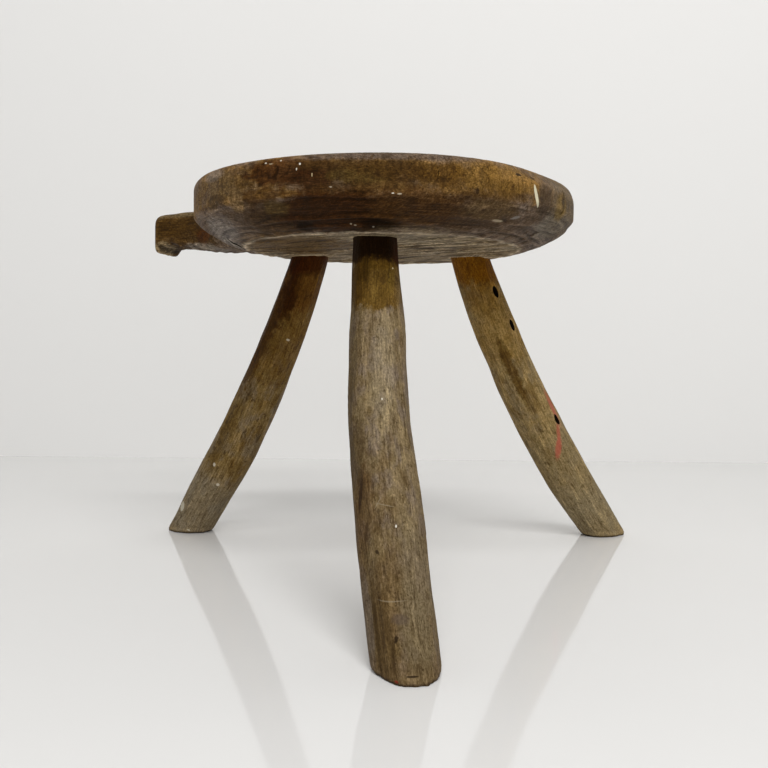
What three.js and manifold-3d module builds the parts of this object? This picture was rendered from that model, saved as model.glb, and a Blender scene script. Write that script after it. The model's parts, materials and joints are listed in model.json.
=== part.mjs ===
// Old farmhouse tripod stool: a hewn round slab seat with a handle left standing on its rim,
// and three bent branch legs, each with a tapered tenon that passes through the seat and is wedged from above.
// Millimetres, +Z up. The origin is on the floor, at the centre of the stool's own box.
import * as THREE from "three";
import { mergeVertices, toCreasedNormals } from "three/addons/utils/BufferGeometryUtils.js";
import Module from "manifold-3d";

// Driving dimensions of the seat
const stoolHeight = 293.5;
const seatThickness = 45.5;
const seatDiameter = 290;
const seatFlatDiameter = 214; // flat of the underside, inside the wide bevel
const rimDepth = 28; // upright band of the rim, above the bevel
const topEdgeRound = 6;
const rimSoftening = 3; // the bevel rounds into the rim over this height
const bevelBellyInset = 7; // the bevel bulges: its belly lies this far inside the rim
const bevelBellyDrop = 9.5; // and this far below the bevel's upper edge
const outOfRound = 1.5; // how far the hewn outline strays from a circle
const wornInset = 9; // how far the top edge is worn back on its worn side
const wornAzimuth = -36;
const wornSpread = 24; // degrees to each side

// Driving dimensions of the handle, which is one piece with the seat
const handleAzimuth = 151;
const handleLength = 88; // beyond the rim
const handleWidth = 41;
const handleThickness = 29.5;
const handleDrop = 4.5; // its top lies this far below the seat's top
const handleFlare = 12; // how much wider each side grows at the rim
const handleRootLength = 22; // the flare dies away over this length beyond the rim
const handleRootDepth = 4.5; // how much deeper the grip is at the end of its flare
const handleRootRise = 4; // how far its underside lies above the seat's underside at the rim
const handleEndRound = 6; // corners of the end, seen from above
const handleEndSkew = 11; // the end is cut askew, so the grip's front is this much shorter
const handleEndSoftness = 8; // its upper and lower corners, seen from the side
const lipLength = 3; // the hooked end's flat underside
const lipDepth = 5;

// Driving dimensions that the three legs share
const tenonTipDiameter = 26;
const tenonRecess = 0.5; // the tenon's end lies this far below the seat's top
const footRound = 3;
const jointClearance = 0.3;

// Driving dimensions of the wedges, which stand across the seat's grain
const wedgeWidth = 23;
const wedgeThickness = 4.6;
const wedgeTipThickness = 1;
const wedgeDepth = 26;

// Driving dimensions of the bent branches. A leg's middle line leaves the seat's underside at its socket and
// meets the floor at its foot, each a distance and an azimuth from the seat's centre.
const neckDiameter = 31;
const bellyDiameter = 39.5;
const footDiameter = 37.5;
const legBow = 11.2; // how far the middle of a leg bends inwards
const frontSocketRadius = 75;
const frontFootRadius = 235;
const frontSway = -3.4; // how far the front leg's middle bends sideways
const leftSocketRadius = 82.5;
const leftFootRadius = 219;
const rightSocketRadius = 93;
const rightFootRadius = 242.5;
const legSizes = [
  {
    name: "leg_front", socketRadius: frontSocketRadius, socketAzimuth: -93.8,
    footRadius: frontFootRadius, footAzimuth: -86.1, sway: frontSway, stoutness: 1,
  },
  {
    name: "leg_left", socketRadius: leftSocketRadius, socketAzimuth: 137.5,
    footRadius: leftFootRadius, footAzimuth: 144.7, sway: 0, stoutness: 0.975,
  },
  {
    name: "leg_right", socketRadius: rightSocketRadius, socketAzimuth: 37,
    footRadius: rightFootRadius, footAzimuth: 31, sway: 0, stoutness: 1.01,
  },
];
const bellyPlace = 0.62; // where a leg is thickest, as a share of the way down

// Beetle holes in the right leg: share of the way down, and angle round the leg from its outer side
const boredLeg = "leg_right";
const beetleHoles = [
  { place: 0.118, turn: -86 },
  { place: 0.236, turn: -75 },
  { place: 0.57, turn: -72 },
];
const beetleHoleWidth = 5.5;
const beetleHoleLength = 10.5;
const beetleHoleDepth = 14;

// Fineness of the meshes
const seatSides = 96;
const legSides = 28;
const legSteps = 18;
const tenonSteps = 5;
const handleSides = 32;
const holeSides = 20;
const creaseAngle = THREE.MathUtils.degToRad(35);

const seatRadius = seatDiameter / 2;
const seatUnderside = stoolHeight - seatThickness;
const tenonEnd = stoolHeight - tenonRecess;
const down = new THREE.Vector3(0, 0, -1);

const wasm = await Module();
wasm.setup();

/** A point at a distance and azimuth (degrees) from the seat's centre line. */
function polar(radius, azimuth, height) {
  const angle = THREE.MathUtils.degToRad(azimuth);
  return new THREE.Vector3(radius * Math.cos(angle), radius * Math.sin(angle), height);
}

/** Turns a closed three.js geometry into a manifold-3d solid. */
function toSolid(geometry) {
  const bare = geometry.clone();
  bare.deleteAttribute("normal");
  bare.deleteAttribute("uv");
  const merged = mergeVertices(bare, 1e-4);
  return new wasm.Manifold(
    new wasm.Mesh({
      numProp: 3,
      vertProperties: merged.attributes.position.array,
      triVerts: new Uint32Array(merged.index.array),
    }),
  );
}

/** Turns a manifold-3d solid back into a geometry with crisp edges. */
function toGeometry(solid) {
  const mesh = solid.getMesh();
  const geometry = new THREE.BufferGeometry();
  geometry.setAttribute("position", new THREE.BufferAttribute(mesh.vertProperties, 3));
  geometry.setIndex(new THREE.BufferAttribute(mesh.triVerts, 1));
  return toCreasedNormals(geometry, creaseAngle);
}

/** Skins a list of rings, which all have the same number of points, and closes both ends. */
function loft(rings) {
  const sides = rings[0].length;
  const points = rings.flat();
  const faces = [];
  for (let ring = 0; ring < rings.length - 1; ring++) {
    for (let side = 0; side < sides; side++) {
      const a = ring * sides + side;
      const b = ring * sides + ((side + 1) % sides);
      faces.push(a, b, b + sides, a, b + sides, a + sides);
    }
  }
  const last = (rings.length - 1) * sides;
  for (let side = 1; side < sides - 1; side++) {
    faces.push(0, side + 1, side);
    faces.push(last, last + side, last + side + 1);
  }
  const geometry = new THREE.BufferGeometry().setFromPoints(points);
  geometry.setIndex(faces);
  return geometry;
}

/** How far the hewn rim stands in or out of its circle at an angle in radians, from -1 to 1. */
function hewn(angle) {
  return 0.55 * Math.cos(angle) + 0.25 * Math.cos(2 * angle + 0.6) + 0.2 * Math.cos(5 * angle - 1.1);
}

/** How worn the top edge is at an angle in radians, from 0 to 1. */
function worn(angle) {
  const away = THREE.MathUtils.radToDeg(angle) - wornAzimuth;
  return Math.exp(-((away / wornSpread) ** 2));
}

/** The round slab, turned about the upright line through the seat's centre. */
function seatSlab() {
  const bevelTop = stoolHeight - rimDepth;
  const profile = new THREE.Path();
  profile.moveTo(0, seatUnderside);
  profile.lineTo(seatFlatDiameter / 2, seatUnderside);
  profile.quadraticCurveTo(
    seatRadius - bevelBellyInset, bevelTop - bevelBellyDrop,
    seatRadius, bevelTop + rimSoftening,
  );
  profile.lineTo(seatRadius, stoolHeight - 2 * topEdgeRound);
  profile.lineTo(seatRadius, stoolHeight - topEdgeRound);
  profile.quadraticCurveTo(seatRadius, stoolHeight, seatRadius - topEdgeRound, stoolHeight);
  profile.lineTo(0, stoolHeight);
  const slab = new THREE.LatheGeometry(profile.getPoints(5), seatSides);
  slab.rotateX(Math.PI / 2);
  const place = slab.attributes.position;
  for (let i = 0; i < place.count; i++) {
    const angle = Math.atan2(place.getY(i), place.getX(i));
    const radius = Math.hypot(place.getX(i), place.getY(i));
    if (radius < 1) continue;
    const rise = THREE.MathUtils.smoothstep(place.getZ(i), stoolHeight - 2.5 * topEdgeRound, stoolHeight);
    const shift = (outOfRound * hewn(angle) * radius) / seatRadius - wornInset * worn(angle) * rise;
    const grow = 1 + shift / radius;
    place.setXY(i, place.getX(i) * grow, place.getY(i) * grow);
  }
  return slab;
}

/** One section across the handle: a rectangle with well rounded corners, shorter in front by skew. */
function handleSection(reach, width, top, bottom, skew = 0) {
  const middle = (top + bottom) / 2;
  const squareness = 0.42; // 1 is an ellipse, and less is squarer
  const ring = [];
  for (let side = 0; side < handleSides; side++) {
    const angle = (2 * Math.PI * side) / handleSides;
    const across = Math.sign(Math.cos(angle)) * Math.abs(Math.cos(angle)) ** squareness;
    const rise = Math.sign(Math.sin(angle)) * Math.abs(Math.sin(angle)) ** squareness;
    const shortening = (skew * (1 + across)) / 2;
    ring.push(new THREE.Vector3(reach - shortening, (across * width) / 2, middle + (rise * (top - bottom)) / 2));
  }
  return ring;
}

/** The handle along +X, from well inside the slab out to its hooked and rounded end. */
function handleBar() {
  const top = stoolHeight - handleDrop;
  const bottom = top - handleThickness;
  const tip = seatRadius + handleLength;
  const endStart = tip - handleEndRound;
  const lip = endStart - lipLength;
  const lipBottom = bottom - lipDepth;
  const rootBottom = seatUnderside + handleRootRise;
  const rootWidth = handleWidth + 2 * handleFlare;
  const rootEnd = seatRadius + handleRootLength;
  const waist = THREE.MathUtils.lerp(rootEnd, lip, 0.35);
  const gripEnd = THREE.MathUtils.lerp(rootEnd, lip, 0.75);
  const rings = [
    handleSection(seatRadius - 30, rootWidth, top, rootBottom),
    handleSection(seatRadius - 4, rootWidth, top, rootBottom + 2),
    handleSection(seatRadius + handleRootLength * 0.4, handleWidth + handleFlare, top, rootBottom + 3),
    handleSection(rootEnd, handleWidth + handleFlare * 0.25, top, bottom - handleRootDepth),
    handleSection(waist, handleWidth, top, bottom - handleRootDepth * 0.5),
    handleSection(gripEnd, handleWidth, top, bottom, handleEndSkew * 0.6),
    handleSection(lip, handleWidth, top, bottom, handleEndSkew),
    handleSection(lip + lipLength * 0.8, handleWidth, top, lipBottom, handleEndSkew),
  ];
  const endSteps = 5;
  const lastTurn = THREE.MathUtils.degToRad(80);
  for (let step = 0; step <= endSteps; step++) {
    const turn = (lastTurn * step) / endSteps;
    const reach = endStart + (handleEndRound * Math.sin(turn)) / Math.sin(lastTurn);
    const inset = 1 - Math.cos(turn);
    const width = handleWidth - 2 * handleEndRound * inset;
    const lowering = handleEndSoftness * inset;
    rings.push(handleSection(reach, width, top - lowering, lipBottom + lowering, handleEndSkew));
  }
  return loft(rings);
}

/** The middle line of a leg: the straight tenon's end and the curve from the seat's underside to the floor. */
function legLine(leg) {
  const socket = polar(leg.socketRadius, leg.socketAzimuth, seatUnderside);
  const foot = polar(leg.footRadius, leg.footAzimuth, 0);
  const outwards = foot.clone().sub(socket).setZ(0).normalize();
  const sideways = new THREE.Vector3(-outwards.y, outwards.x, 0);
  const control = socket.clone().lerp(foot, 0.5);
  control.addScaledVector(outwards, -2 * legBow).addScaledVector(sideways, 2 * leg.sway);
  const curve = new THREE.QuadraticBezierCurve3(socket, control, foot);
  const lean = curve.getTangent(0);
  const tip = socket.clone().addScaledVector(lean, (tenonEnd - seatUnderside) / lean.z);
  return { socket, curve, lean, tip };
}

/** A leg's thickness at a share of the way down, through its neck, belly and foot. */
function legDiameter(leg, share) {
  const neck = ((share - bellyPlace) * (share - 1)) / bellyPlace;
  const belly = (share * (share - 1)) / (bellyPlace * (bellyPlace - 1));
  const foot = (share * (share - bellyPlace)) / (1 - bellyPlace);
  return leg.stoutness * (neck * neckDiameter + belly * bellyDiameter + foot * footDiameter);
}

/** A ring round a leg, square to its middle line where level is 0 and level with the floor where it is 1. */
function legRing(centre, along, radius, level) {
  const normal = along.clone().lerp(down, level).normalize();
  const right = new THREE.Vector3(1, 0, 0);
  const across = right.addScaledVector(along, -right.dot(along)).normalize();
  const round = new THREE.Vector3().crossVectors(along, across);
  const ring = [];
  for (let side = 0; side < legSides; side++) {
    const angle = (2 * Math.PI * side) / legSides;
    const arm = across.clone().multiplyScalar(Math.cos(angle)).addScaledVector(round, Math.sin(angle));
    arm.multiplyScalar(radius);
    arm.addScaledVector(along, -arm.dot(normal) / along.dot(normal));
    ring.push(arm.add(centre));
  }
  return ring;
}

/** The rings of the tapered tenon, from its end at the seat's top down to the seat's underside. */
function tenonRings(leg, extraRadius) {
  const { socket, lean, tip } = legLine(leg);
  const rings = [];
  for (let step = 0; step <= tenonSteps; step++) {
    const share = step / tenonSteps;
    const centre = tip.clone().lerp(socket, share);
    const diameter = THREE.MathUtils.lerp(tenonTipDiameter, legDiameter(leg, 0), share);
    rings.push(legRing(centre, lean, diameter / 2 + extraRadius, 1 - share));
  }
  return rings;
}

/** The rings of a leg's bent shank, from below the seat down to its worn foot on the floor. */
function shankRings(leg) {
  const { curve } = legLine(leg);
  const rings = [];
  const neckEnd = 0.035; // the neck keeps the tenon's size down to here, clear of the seat
  const footStart = 0.985;
  const squareEnd = 0.8; // below this the rings turn level with the floor
  for (let step = 0; step <= legSteps; step++) {
    const share = step / legSteps;
    const place = THREE.MathUtils.lerp(neckEnd, footStart, share);
    const level = THREE.MathUtils.smoothstep(place, squareEnd, footStart);
    rings.push(legRing(curve.getPoint(place), curve.getTangent(place), legDiameter(leg, share) / 2, level));
  }
  const fall = curve.getTangent(1);
  const radius = legDiameter(leg, 1) / 2;
  const foot = curve.getPoint(1);
  const wornSteps = [
    { height: footRound * 0.35, inset: footRound * 0.3 },
    { height: 0, inset: footRound },
  ];
  for (const { height, inset } of wornSteps) {
    const centre = foot.clone().addScaledVector(fall, height / fall.z);
    rings.push(legRing(centre, fall, radius - inset, 1));
  }
  return rings;
}

/** The frame of a leg's wedge: its width across the seat's grain, and its depth along the tenon. */
function wedgeFrame(leg) {
  const { lean, tip } = legLine(leg);
  const acrossGrain = polar(1, handleAzimuth + 90, 0);
  const thin = new THREE.Vector3().crossVectors(lean, acrossGrain).normalize();
  const wide = new THREE.Vector3().crossVectors(thin, lean).normalize();
  return new THREE.Matrix4().makeBasis(wide, thin, lean.clone()).setPosition(tip);
}

/** A wedge that stands proud of the tenon's end, grown by a clearance on every side. */
function wedgeBlock(leg, clearance) {
  const proud = 12;
  const width = wedgeWidth + (clearance > 0 ? 2 * neckDiameter : 0);
  const taper = (wedgeThickness - wedgeTipThickness) / wedgeDepth / 2;
  const rings = [-proud, wedgeDepth + clearance].map((depth) => {
    const half = wedgeThickness / 2 - taper * depth + clearance;
    return [
      new THREE.Vector3(-width / 2, -half, depth),
      new THREE.Vector3(width / 2, -half, depth),
      new THREE.Vector3(width / 2, half, depth),
      new THREE.Vector3(-width / 2, half, depth),
    ];
  });
  return toSolid(loft(rings).applyMatrix4(wedgeFrame(leg)));
}

/** The wedge itself, sawn off level with the tenon's end. */
function wedgeSolid(leg) {
  return wedgeBlock(leg, 0).trimByPlane([0, 0, -1], -tenonEnd);
}

/** One oval beetle hole, bored into a leg from its outer side. */
function beetleHole(leg, { place, turn }) {
  const { curve } = legLine(leg);
  const along = curve.getTangent(place);
  const outwards = polar(1, leg.footAzimuth, 0);
  outwards.addScaledVector(along, -outwards.dot(along)).normalize();
  outwards.applyAxisAngle(along, THREE.MathUtils.degToRad(-turn));
  const surface = legDiameter(leg, place) / 2;
  const bore = new THREE.CylinderGeometry(0.5, 0.5, 2 * beetleHoleDepth, holeSides);
  bore.scale(beetleHoleWidth, 1, beetleHoleLength);
  const sideways = new THREE.Vector3().crossVectors(outwards, along);
  const frame = new THREE.Matrix4().makeBasis(sideways, outwards, along);
  frame.setPosition(curve.getPoint(place).addScaledVector(outwards, surface));
  return toSolid(bore.applyMatrix4(frame));
}

/** A leg with its kerf for the wedge and, on one leg, the beetle holes. */
function legSolid(leg) {
  const rings = [...tenonRings(leg, 0), ...shankRings(leg)];
  let solid = toSolid(loft(rings)).subtract(wedgeBlock(leg, jointClearance));
  if (leg.name === boredLeg) {
    for (const hole of beetleHoles) solid = solid.subtract(beetleHole(leg, hole));
  }
  return solid;
}

/** The through mortise that a leg's tenon passes through, open at both faces of the seat. */
function mortise(leg) {
  const proud = 10;
  const rings = tenonRings(leg, jointClearance);
  const { lean } = legLine(leg);
  const moved = (ring, distance) => ring.map((point) => point.clone().addScaledVector(lean, distance));
  const above = moved(rings[0], proud / lean.z);
  const below = moved(rings[rings.length - 1], -proud / lean.z);
  return toSolid(loft([above, ...rings, below]));
}

/** The seat: slab and handle in one, bored for the three tenons. */
function seatSolid() {
  const handle = handleBar().rotateZ(THREE.MathUtils.degToRad(handleAzimuth));
  let solid = toSolid(seatSlab()).add(toSolid(handle));
  for (const leg of legSizes) solid = solid.subtract(mortise(leg));
  return solid;
}

/** A named mesh in its own material. */
function piece(name, solid, colour, roughness) {
  const material = new THREE.MeshStandardMaterial({ color: colour, roughness, metalness: 0 });
  const mesh = new THREE.Mesh(toGeometry(solid), material);
  mesh.name = name;
  return mesh;
}

const stool = new THREE.Group();
stool.add(piece("seat", seatSolid(), 0x5b4838, 0.7));
for (const leg of legSizes) {
  stool.add(piece(leg.name, legSolid(leg), 0x6b563a, 0.75));
  stool.add(piece(leg.name.replace("leg", "wedge"), wedgeSolid(leg), 0x7a5c34, 0.7));
}

// The origin goes to the floor, in the middle of the stool's box.
const box = new THREE.Box3().setFromObject(stool);
const middle = box.getCenter(new THREE.Vector3());
stool.position.set(-middle.x, -middle.y, -box.min.z);

export default stool;
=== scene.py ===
"""A low three-legged stool with a hewn round seat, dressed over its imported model.

The seat and its grip are carved from one plank, and each leg is a bent branch whose upper end is a tenon,
driven through the seat and wedged from above. Lengths are in millimetres and become metres where they
reach Blender.
"""

from __future__ import annotations

import json
import logging
import math
from contextlib import contextmanager
from dataclasses import dataclass, field
from enum import Enum
from typing import Any, Callable, Iterator, Sequence, Union

import bmesh
import bpy
import numpy as np
from mathutils import Matrix, Vector, noise

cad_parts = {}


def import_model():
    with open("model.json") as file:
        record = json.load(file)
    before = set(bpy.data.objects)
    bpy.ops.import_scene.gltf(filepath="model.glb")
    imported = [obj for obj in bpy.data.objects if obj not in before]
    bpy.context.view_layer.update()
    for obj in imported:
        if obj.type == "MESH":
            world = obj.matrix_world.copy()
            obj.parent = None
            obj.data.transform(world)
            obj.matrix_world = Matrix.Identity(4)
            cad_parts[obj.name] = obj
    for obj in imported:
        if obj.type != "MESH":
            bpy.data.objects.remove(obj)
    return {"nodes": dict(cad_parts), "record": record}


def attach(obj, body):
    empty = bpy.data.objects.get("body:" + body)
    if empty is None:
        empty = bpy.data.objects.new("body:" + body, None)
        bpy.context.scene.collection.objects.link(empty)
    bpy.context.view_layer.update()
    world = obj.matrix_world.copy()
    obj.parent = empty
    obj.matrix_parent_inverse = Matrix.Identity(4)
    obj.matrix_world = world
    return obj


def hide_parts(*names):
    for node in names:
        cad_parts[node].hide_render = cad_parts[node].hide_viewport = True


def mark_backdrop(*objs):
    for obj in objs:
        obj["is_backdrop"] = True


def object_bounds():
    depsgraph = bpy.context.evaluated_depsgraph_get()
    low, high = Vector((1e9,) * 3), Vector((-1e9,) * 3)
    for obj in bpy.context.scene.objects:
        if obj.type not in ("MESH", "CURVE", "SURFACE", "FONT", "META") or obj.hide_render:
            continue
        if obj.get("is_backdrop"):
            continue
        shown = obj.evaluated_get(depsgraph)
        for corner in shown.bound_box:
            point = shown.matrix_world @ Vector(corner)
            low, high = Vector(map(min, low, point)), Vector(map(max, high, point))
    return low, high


log = logging.getLogger("stool")

MM = 0.001
# Faces that meet at less than this angle are shaded as one surface.
CREASE = math.radians(38)
# What a node's input takes: a value, another node's socket, or a node whose first output is meant.
Source = Union[float, Sequence[float], bpy.types.Node, bpy.types.NodeSocket]


# Small helpers


def linear(colour: str) -> tuple[float, float, float, float]:
    """Turns an sRGB hex colour into linear values.

    Args:
        colour: the colour as "#rrggbb".

    Returns:
        Red, green, blue and an alpha of 1.
    """
    shares = [int(colour[i : i + 2], 16) / 255 for i in (1, 3, 5)]
    red, green, blue = (s / 12.92 if s <= 0.04045 else ((s + 0.055) / 1.055) ** 2.4 for s in shares)
    return red, green, blue, 1.0


def smoothstep(value: float, low: float, high: float) -> float:
    """Eases from 0 at low to 1 at high.

    Args:
        value: the number to ease.
        low: where the ease starts.
        high: where it ends.

    Returns:
        A share from 0 to 1.
    """
    share = min(1.0, max(0.0, (value - low) / (high - low)))
    return share * share * (3 - 2 * share)


def wrapped(angle: float) -> float:
    """Brings an angle in radians between minus and plus half a turn."""
    return math.atan2(math.sin(angle), math.cos(angle))


def polar(radius: float, azimuth: float, height: float = 0.0) -> Vector:
    """Gives the point at a distance and an azimuth in degrees round the upright axis, at a height."""
    turn = math.radians(azimuth)
    return Vector((radius * math.cos(turn), radius * math.sin(turn), height))


def swell(*place: float) -> float:
    """Gives soft lumps from -1 to 1 at a place that is counted in lump lengths."""
    return noise.noise(Vector(place))


def leave_selection() -> None:
    """Deselects everything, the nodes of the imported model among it."""
    bpy.ops.object.select_all(action="DESELECT")


def pick_up(piece: bpy.types.Object) -> None:
    """Makes a piece the only selected and active one.

    Args:
        piece: the piece to work on.
    """
    leave_selection()
    piece.select_set(True)
    bpy.context.view_layer.objects.active = piece


def settle() -> bpy.types.Object:
    """Keeps the place, turn and scale of the piece in hand in its mesh, and gives the piece."""
    bpy.ops.object.transform_apply(location=True, rotation=True, scale=True)
    return bpy.context.object


def place(piece: bpy.types.Object, matrix: Matrix) -> None:
    """Puts a piece into its place and keeps that place in its mesh.

    Args:
        piece: the piece, whose object sits at the origin.
        matrix: the place, turn and scale.
    """
    pick_up(piece)
    piece.matrix_world = matrix
    settle()


@contextmanager
def editing(piece: bpy.types.Object) -> Iterator[None]:
    """Opens a piece in edit mode with all of it selected, and closes it afterwards.

    Args:
        piece: the piece to shape.

    Yields:
        Nothing.
    """
    pick_up(piece)
    bpy.ops.object.mode_set(mode="EDIT")
    bpy.ops.mesh.select_all(action="SELECT")
    yield
    bpy.ops.object.mode_set(mode="OBJECT")


def face_outwards(piece: bpy.types.Object) -> None:
    """Makes all faces of a piece point outwards."""
    with editing(piece):
        bpy.ops.mesh.normals_make_consistent(inside=False)


def choose(piece: bpy.types.Object, wanted: Callable[[bmesh.types.BMesh], list[Any]]) -> None:
    """Selects only some faces or edges of a piece in edit mode.

    Args:
        piece: the piece that is being edited.
        wanted: picks them from the piece's mesh.
    """
    mesh = bmesh.from_edit_mesh(piece.data)
    for part in (*mesh.verts, *mesh.edges, *mesh.faces):
        part.select_set(False)
    for part in wanted(mesh):
        part.select_set(True)
    bmesh.update_edit_mesh(piece.data)


def draw_on(shift: Vector, grow: tuple[float, float, float], centre: Vector) -> None:
    """Extrudes the selected faces by a shift, and scales them about a point.

    Args:
        shift: how far they move, in millimetres.
        grow: the scale along the three axes.
        centre: the point that stays, in millimetres.
    """
    bpy.ops.mesh.extrude_region_move(TRANSFORM_OT_translate={"value": tuple(shift * MM)})
    bpy.ops.transform.resize(value=grow, center_override=tuple(centre * MM))


def apply_modifier(piece: bpy.types.Object, kind: str, **settings: Any) -> None:
    """Gives a piece a modifier and applies it.

    Args:
        piece: the piece that is finished.
        kind: the modifier's type.
        **settings: the modifier's properties.
    """
    pick_up(piece)
    modifier = piece.modifiers.new(kind.title(), kind)
    for name, value in settings.items():
        setattr(modifier, name, value)
    bpy.ops.object.modifier_apply(modifier=modifier.name)


def cut(piece: bpy.types.Object, cutters: Sequence[bpy.types.Object]) -> None:
    """Cuts a piece with other solids and deletes them.

    Args:
        piece: the piece that loses wood.
        cutters: the closed solids that are taken away, clear of each other.
    """
    pick_up(cutters[0])
    for cutter in cutters:
        cutter.select_set(True)
    bpy.ops.object.join()
    apply_modifier(piece, "BOOLEAN", operation="DIFFERENCE", solver="EXACT", object=cutters[0])
    bpy.data.objects.remove(cutters[0], do_unlink=True)


def carve(piece: bpy.types.Object, move: Callable[[Vector, Vector], Vector]) -> None:
    """Moves each point of a piece, as a knife or long wear does.

    Args:
        piece: the piece, whose object sits at the origin.
        move: takes a point and its outward normal, in millimetres, and gives the new point.
    """
    normals = [v.normal.copy() for v in piece.data.vertices]
    for vertex, normal in zip(piece.data.vertices, normals):
        vertex.co = move(vertex.co / MM, normal) * MM
    piece.data.update()


def keep_inside(piece: bpy.types.Object, box: Sequence[Sequence[float]]) -> None:
    """Wears a piece's outermost crests back to the stool's packed size.

    Args:
        piece: the finished piece.
        box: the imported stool's lowest and highest corners in metres.
    """
    for vertex in piece.data.vertices:
        vertex.co = Vector(min(max(value, low), high) for value, low, high in zip(vertex.co, *box))


def keep_relief(piece: bpy.types.Object, name: str, rounds: int, full: float) -> None:
    """Writes how far each point stands out of its surroundings, for wear on crests and dirt in hollows.

    Args:
        piece: the finished piece.
        name: the attribute's name.
        rounds: how many times the surface is evened out for the comparison, where more rounds reach further.
        full: the height in millimetres that counts as 1.
    """
    mesh = piece.data
    count = len(mesh.vertices)
    points, normals = np.empty(count * 3), np.empty(count * 3)
    mesh.vertices.foreach_get("co", points)
    mesh.vertices.foreach_get("normal", normals)
    points = points.reshape(-1, 3)
    ends = np.empty(len(mesh.edges) * 2, dtype=np.int32)
    mesh.edges.foreach_get("vertices", ends)
    first, second = ends.reshape(-1, 2).T
    neighbours = (np.bincount(first, minlength=count) + np.bincount(second, minlength=count))[:, None]
    even = points.copy()
    for _ in range(rounds):
        sums = [
            np.bincount(first, even[second, axis], count) + np.bincount(second, even[first, axis], count)
            for axis in range(3)
        ]
        even += 0.5 * (np.stack(sums, axis=1) / neighbours - even)
    height = ((points - even) * normals.reshape(-1, 3)).sum(axis=1) / (MM * full)
    height -= np.median(height)
    kept = mesh.attributes.new(name, "FLOAT", "POINT")
    kept.data.foreach_set("value", np.clip(height, -1.0, 1.0).astype(np.float32))


def finish_piece(piece: bpy.types.Object, name: str) -> None:
    """Names a carved piece and shades its surface smooth up to its creases.

    Args:
        piece: the piece.
        name: its name.
    """
    piece.name = name
    pick_up(piece)
    bpy.ops.object.shade_smooth_by_angle(angle=CREASE)


def put_lens(centre: Vector, along: Vector, across: Vector, size: Vector) -> bpy.types.Object:
    """Makes a lens-shaped solid, with which a crack or a gouge is cut.

    Args:
        centre: its middle in millimetres.
        along: the direction of its length.
        across: a direction near that of its width.
        size: its length, width and depth in millimetres.

    Returns:
        The solid.
    """
    first = along.normalized()
    third = first.cross(across).normalized()
    second = third.cross(first)
    leave_selection()
    bpy.ops.mesh.primitive_ico_sphere_add(subdivisions=3, radius=0.5)
    lens = bpy.context.object
    turn = Matrix((first, second, third)).transposed().to_4x4()
    place(lens, Matrix.Translation(centre * MM) @ turn @ Matrix.Diagonal((*(size * MM), 1.0)))
    return lens


@dataclass(frozen=True)
class Strokes:
    """One tool's overlapping strokes on the wood, in millimetres."""

    length: float
    width: float
    depth: float
    seed: float
    steepness: float = 2.2

    def at(self, along: float, across: float) -> float:
        """Gives how deep the tool has cut at a place.

        Args:
            along: the place along the strokes.
            across: the place across them.

        Returns:
            About 0 on the crests between strokes, and the full depth along their middles.
        """
        where = Vector((along / self.length, across / self.width, self.seed))
        nearest, second, _third, _fourth = noise.voronoi(where)[0]
        return self.depth * min(1.0, max(0.0, (second - nearest) * self.steepness))


# Materials


class Grain(Enum):
    """Which of a piece's coordinates run along the grain, across the rings and along them."""

    ALONG_X = (0, 1, 2)
    ALONG_Z = (2, 0, 1)


@dataclass(frozen=True)
class StainOrPaintedLight:
    """A place on the wood with a colour of its own, from stained places and marks to painted shadows and
    highlights: a rough ellipsoid, centred in row-frame millimetres.
    """

    centre: tuple[float, float, float]
    radii: tuple[float, float, float]
    colour: str
    strength: float = 1.0
    softness: float = 0.5
    raggedness: float = 0.35
    tilt: float = 0.0
    turn: float = 0.0


@dataclass(frozen=True)
class WoodFinish:
    """A wood and how time and use have left its surface, with painted shade and light among its patches: dry
    and nearly matt, with a faint warm gloss.
    """

    name: str
    base: str
    pale: str
    grey: str
    dark: str
    grime: str
    tone: str
    ring_spacing: float
    fibre_length: float
    fibre_width: float
    blotch: float
    grime_amount: float
    roughness: float
    calm: float = 0.0
    warmth: float = 0.28
    ior: float = 1.45
    gloss: float = 0.12
    gloss_tint: str = "#e0c8a4"
    patches: tuple[StainOrPaintedLight, ...] = ()
    marks: tuple[StainOrPaintedLight, ...] = ()


class Nodes:
    """The nodes of a material or of the studio's air, in the making."""

    def __init__(self, owner: bpy.types.Material | bpy.types.World) -> None:
        """Starts without any node.

        Args:
            owner: what the nodes belong to.
        """
        owner.use_nodes = True
        self.tree = owner.node_tree
        self.tree.nodes.clear()

    def add(
        self, kind: str, inputs: dict[int | str, Source] | None = None, **settings: Any
    ) -> bpy.types.Node:
        """Adds a node with its settings and links.

        Args:
            kind: the node's type.
            inputs: what each input takes, by its name or number.
            **settings: the node's own properties.

        Returns:
            The new node.
        """
        node = self.tree.nodes.new(kind)
        for name, value in settings.items():
            setattr(node, name, value)
        for key, value in (inputs or {}).items():
            source = value.outputs[0] if isinstance(value, bpy.types.Node) else value
            if isinstance(source, bpy.types.NodeSocket):
                self.tree.links.new(source, node.inputs[key])
            else:
                node.inputs[key].default_value = source
        return node


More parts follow.
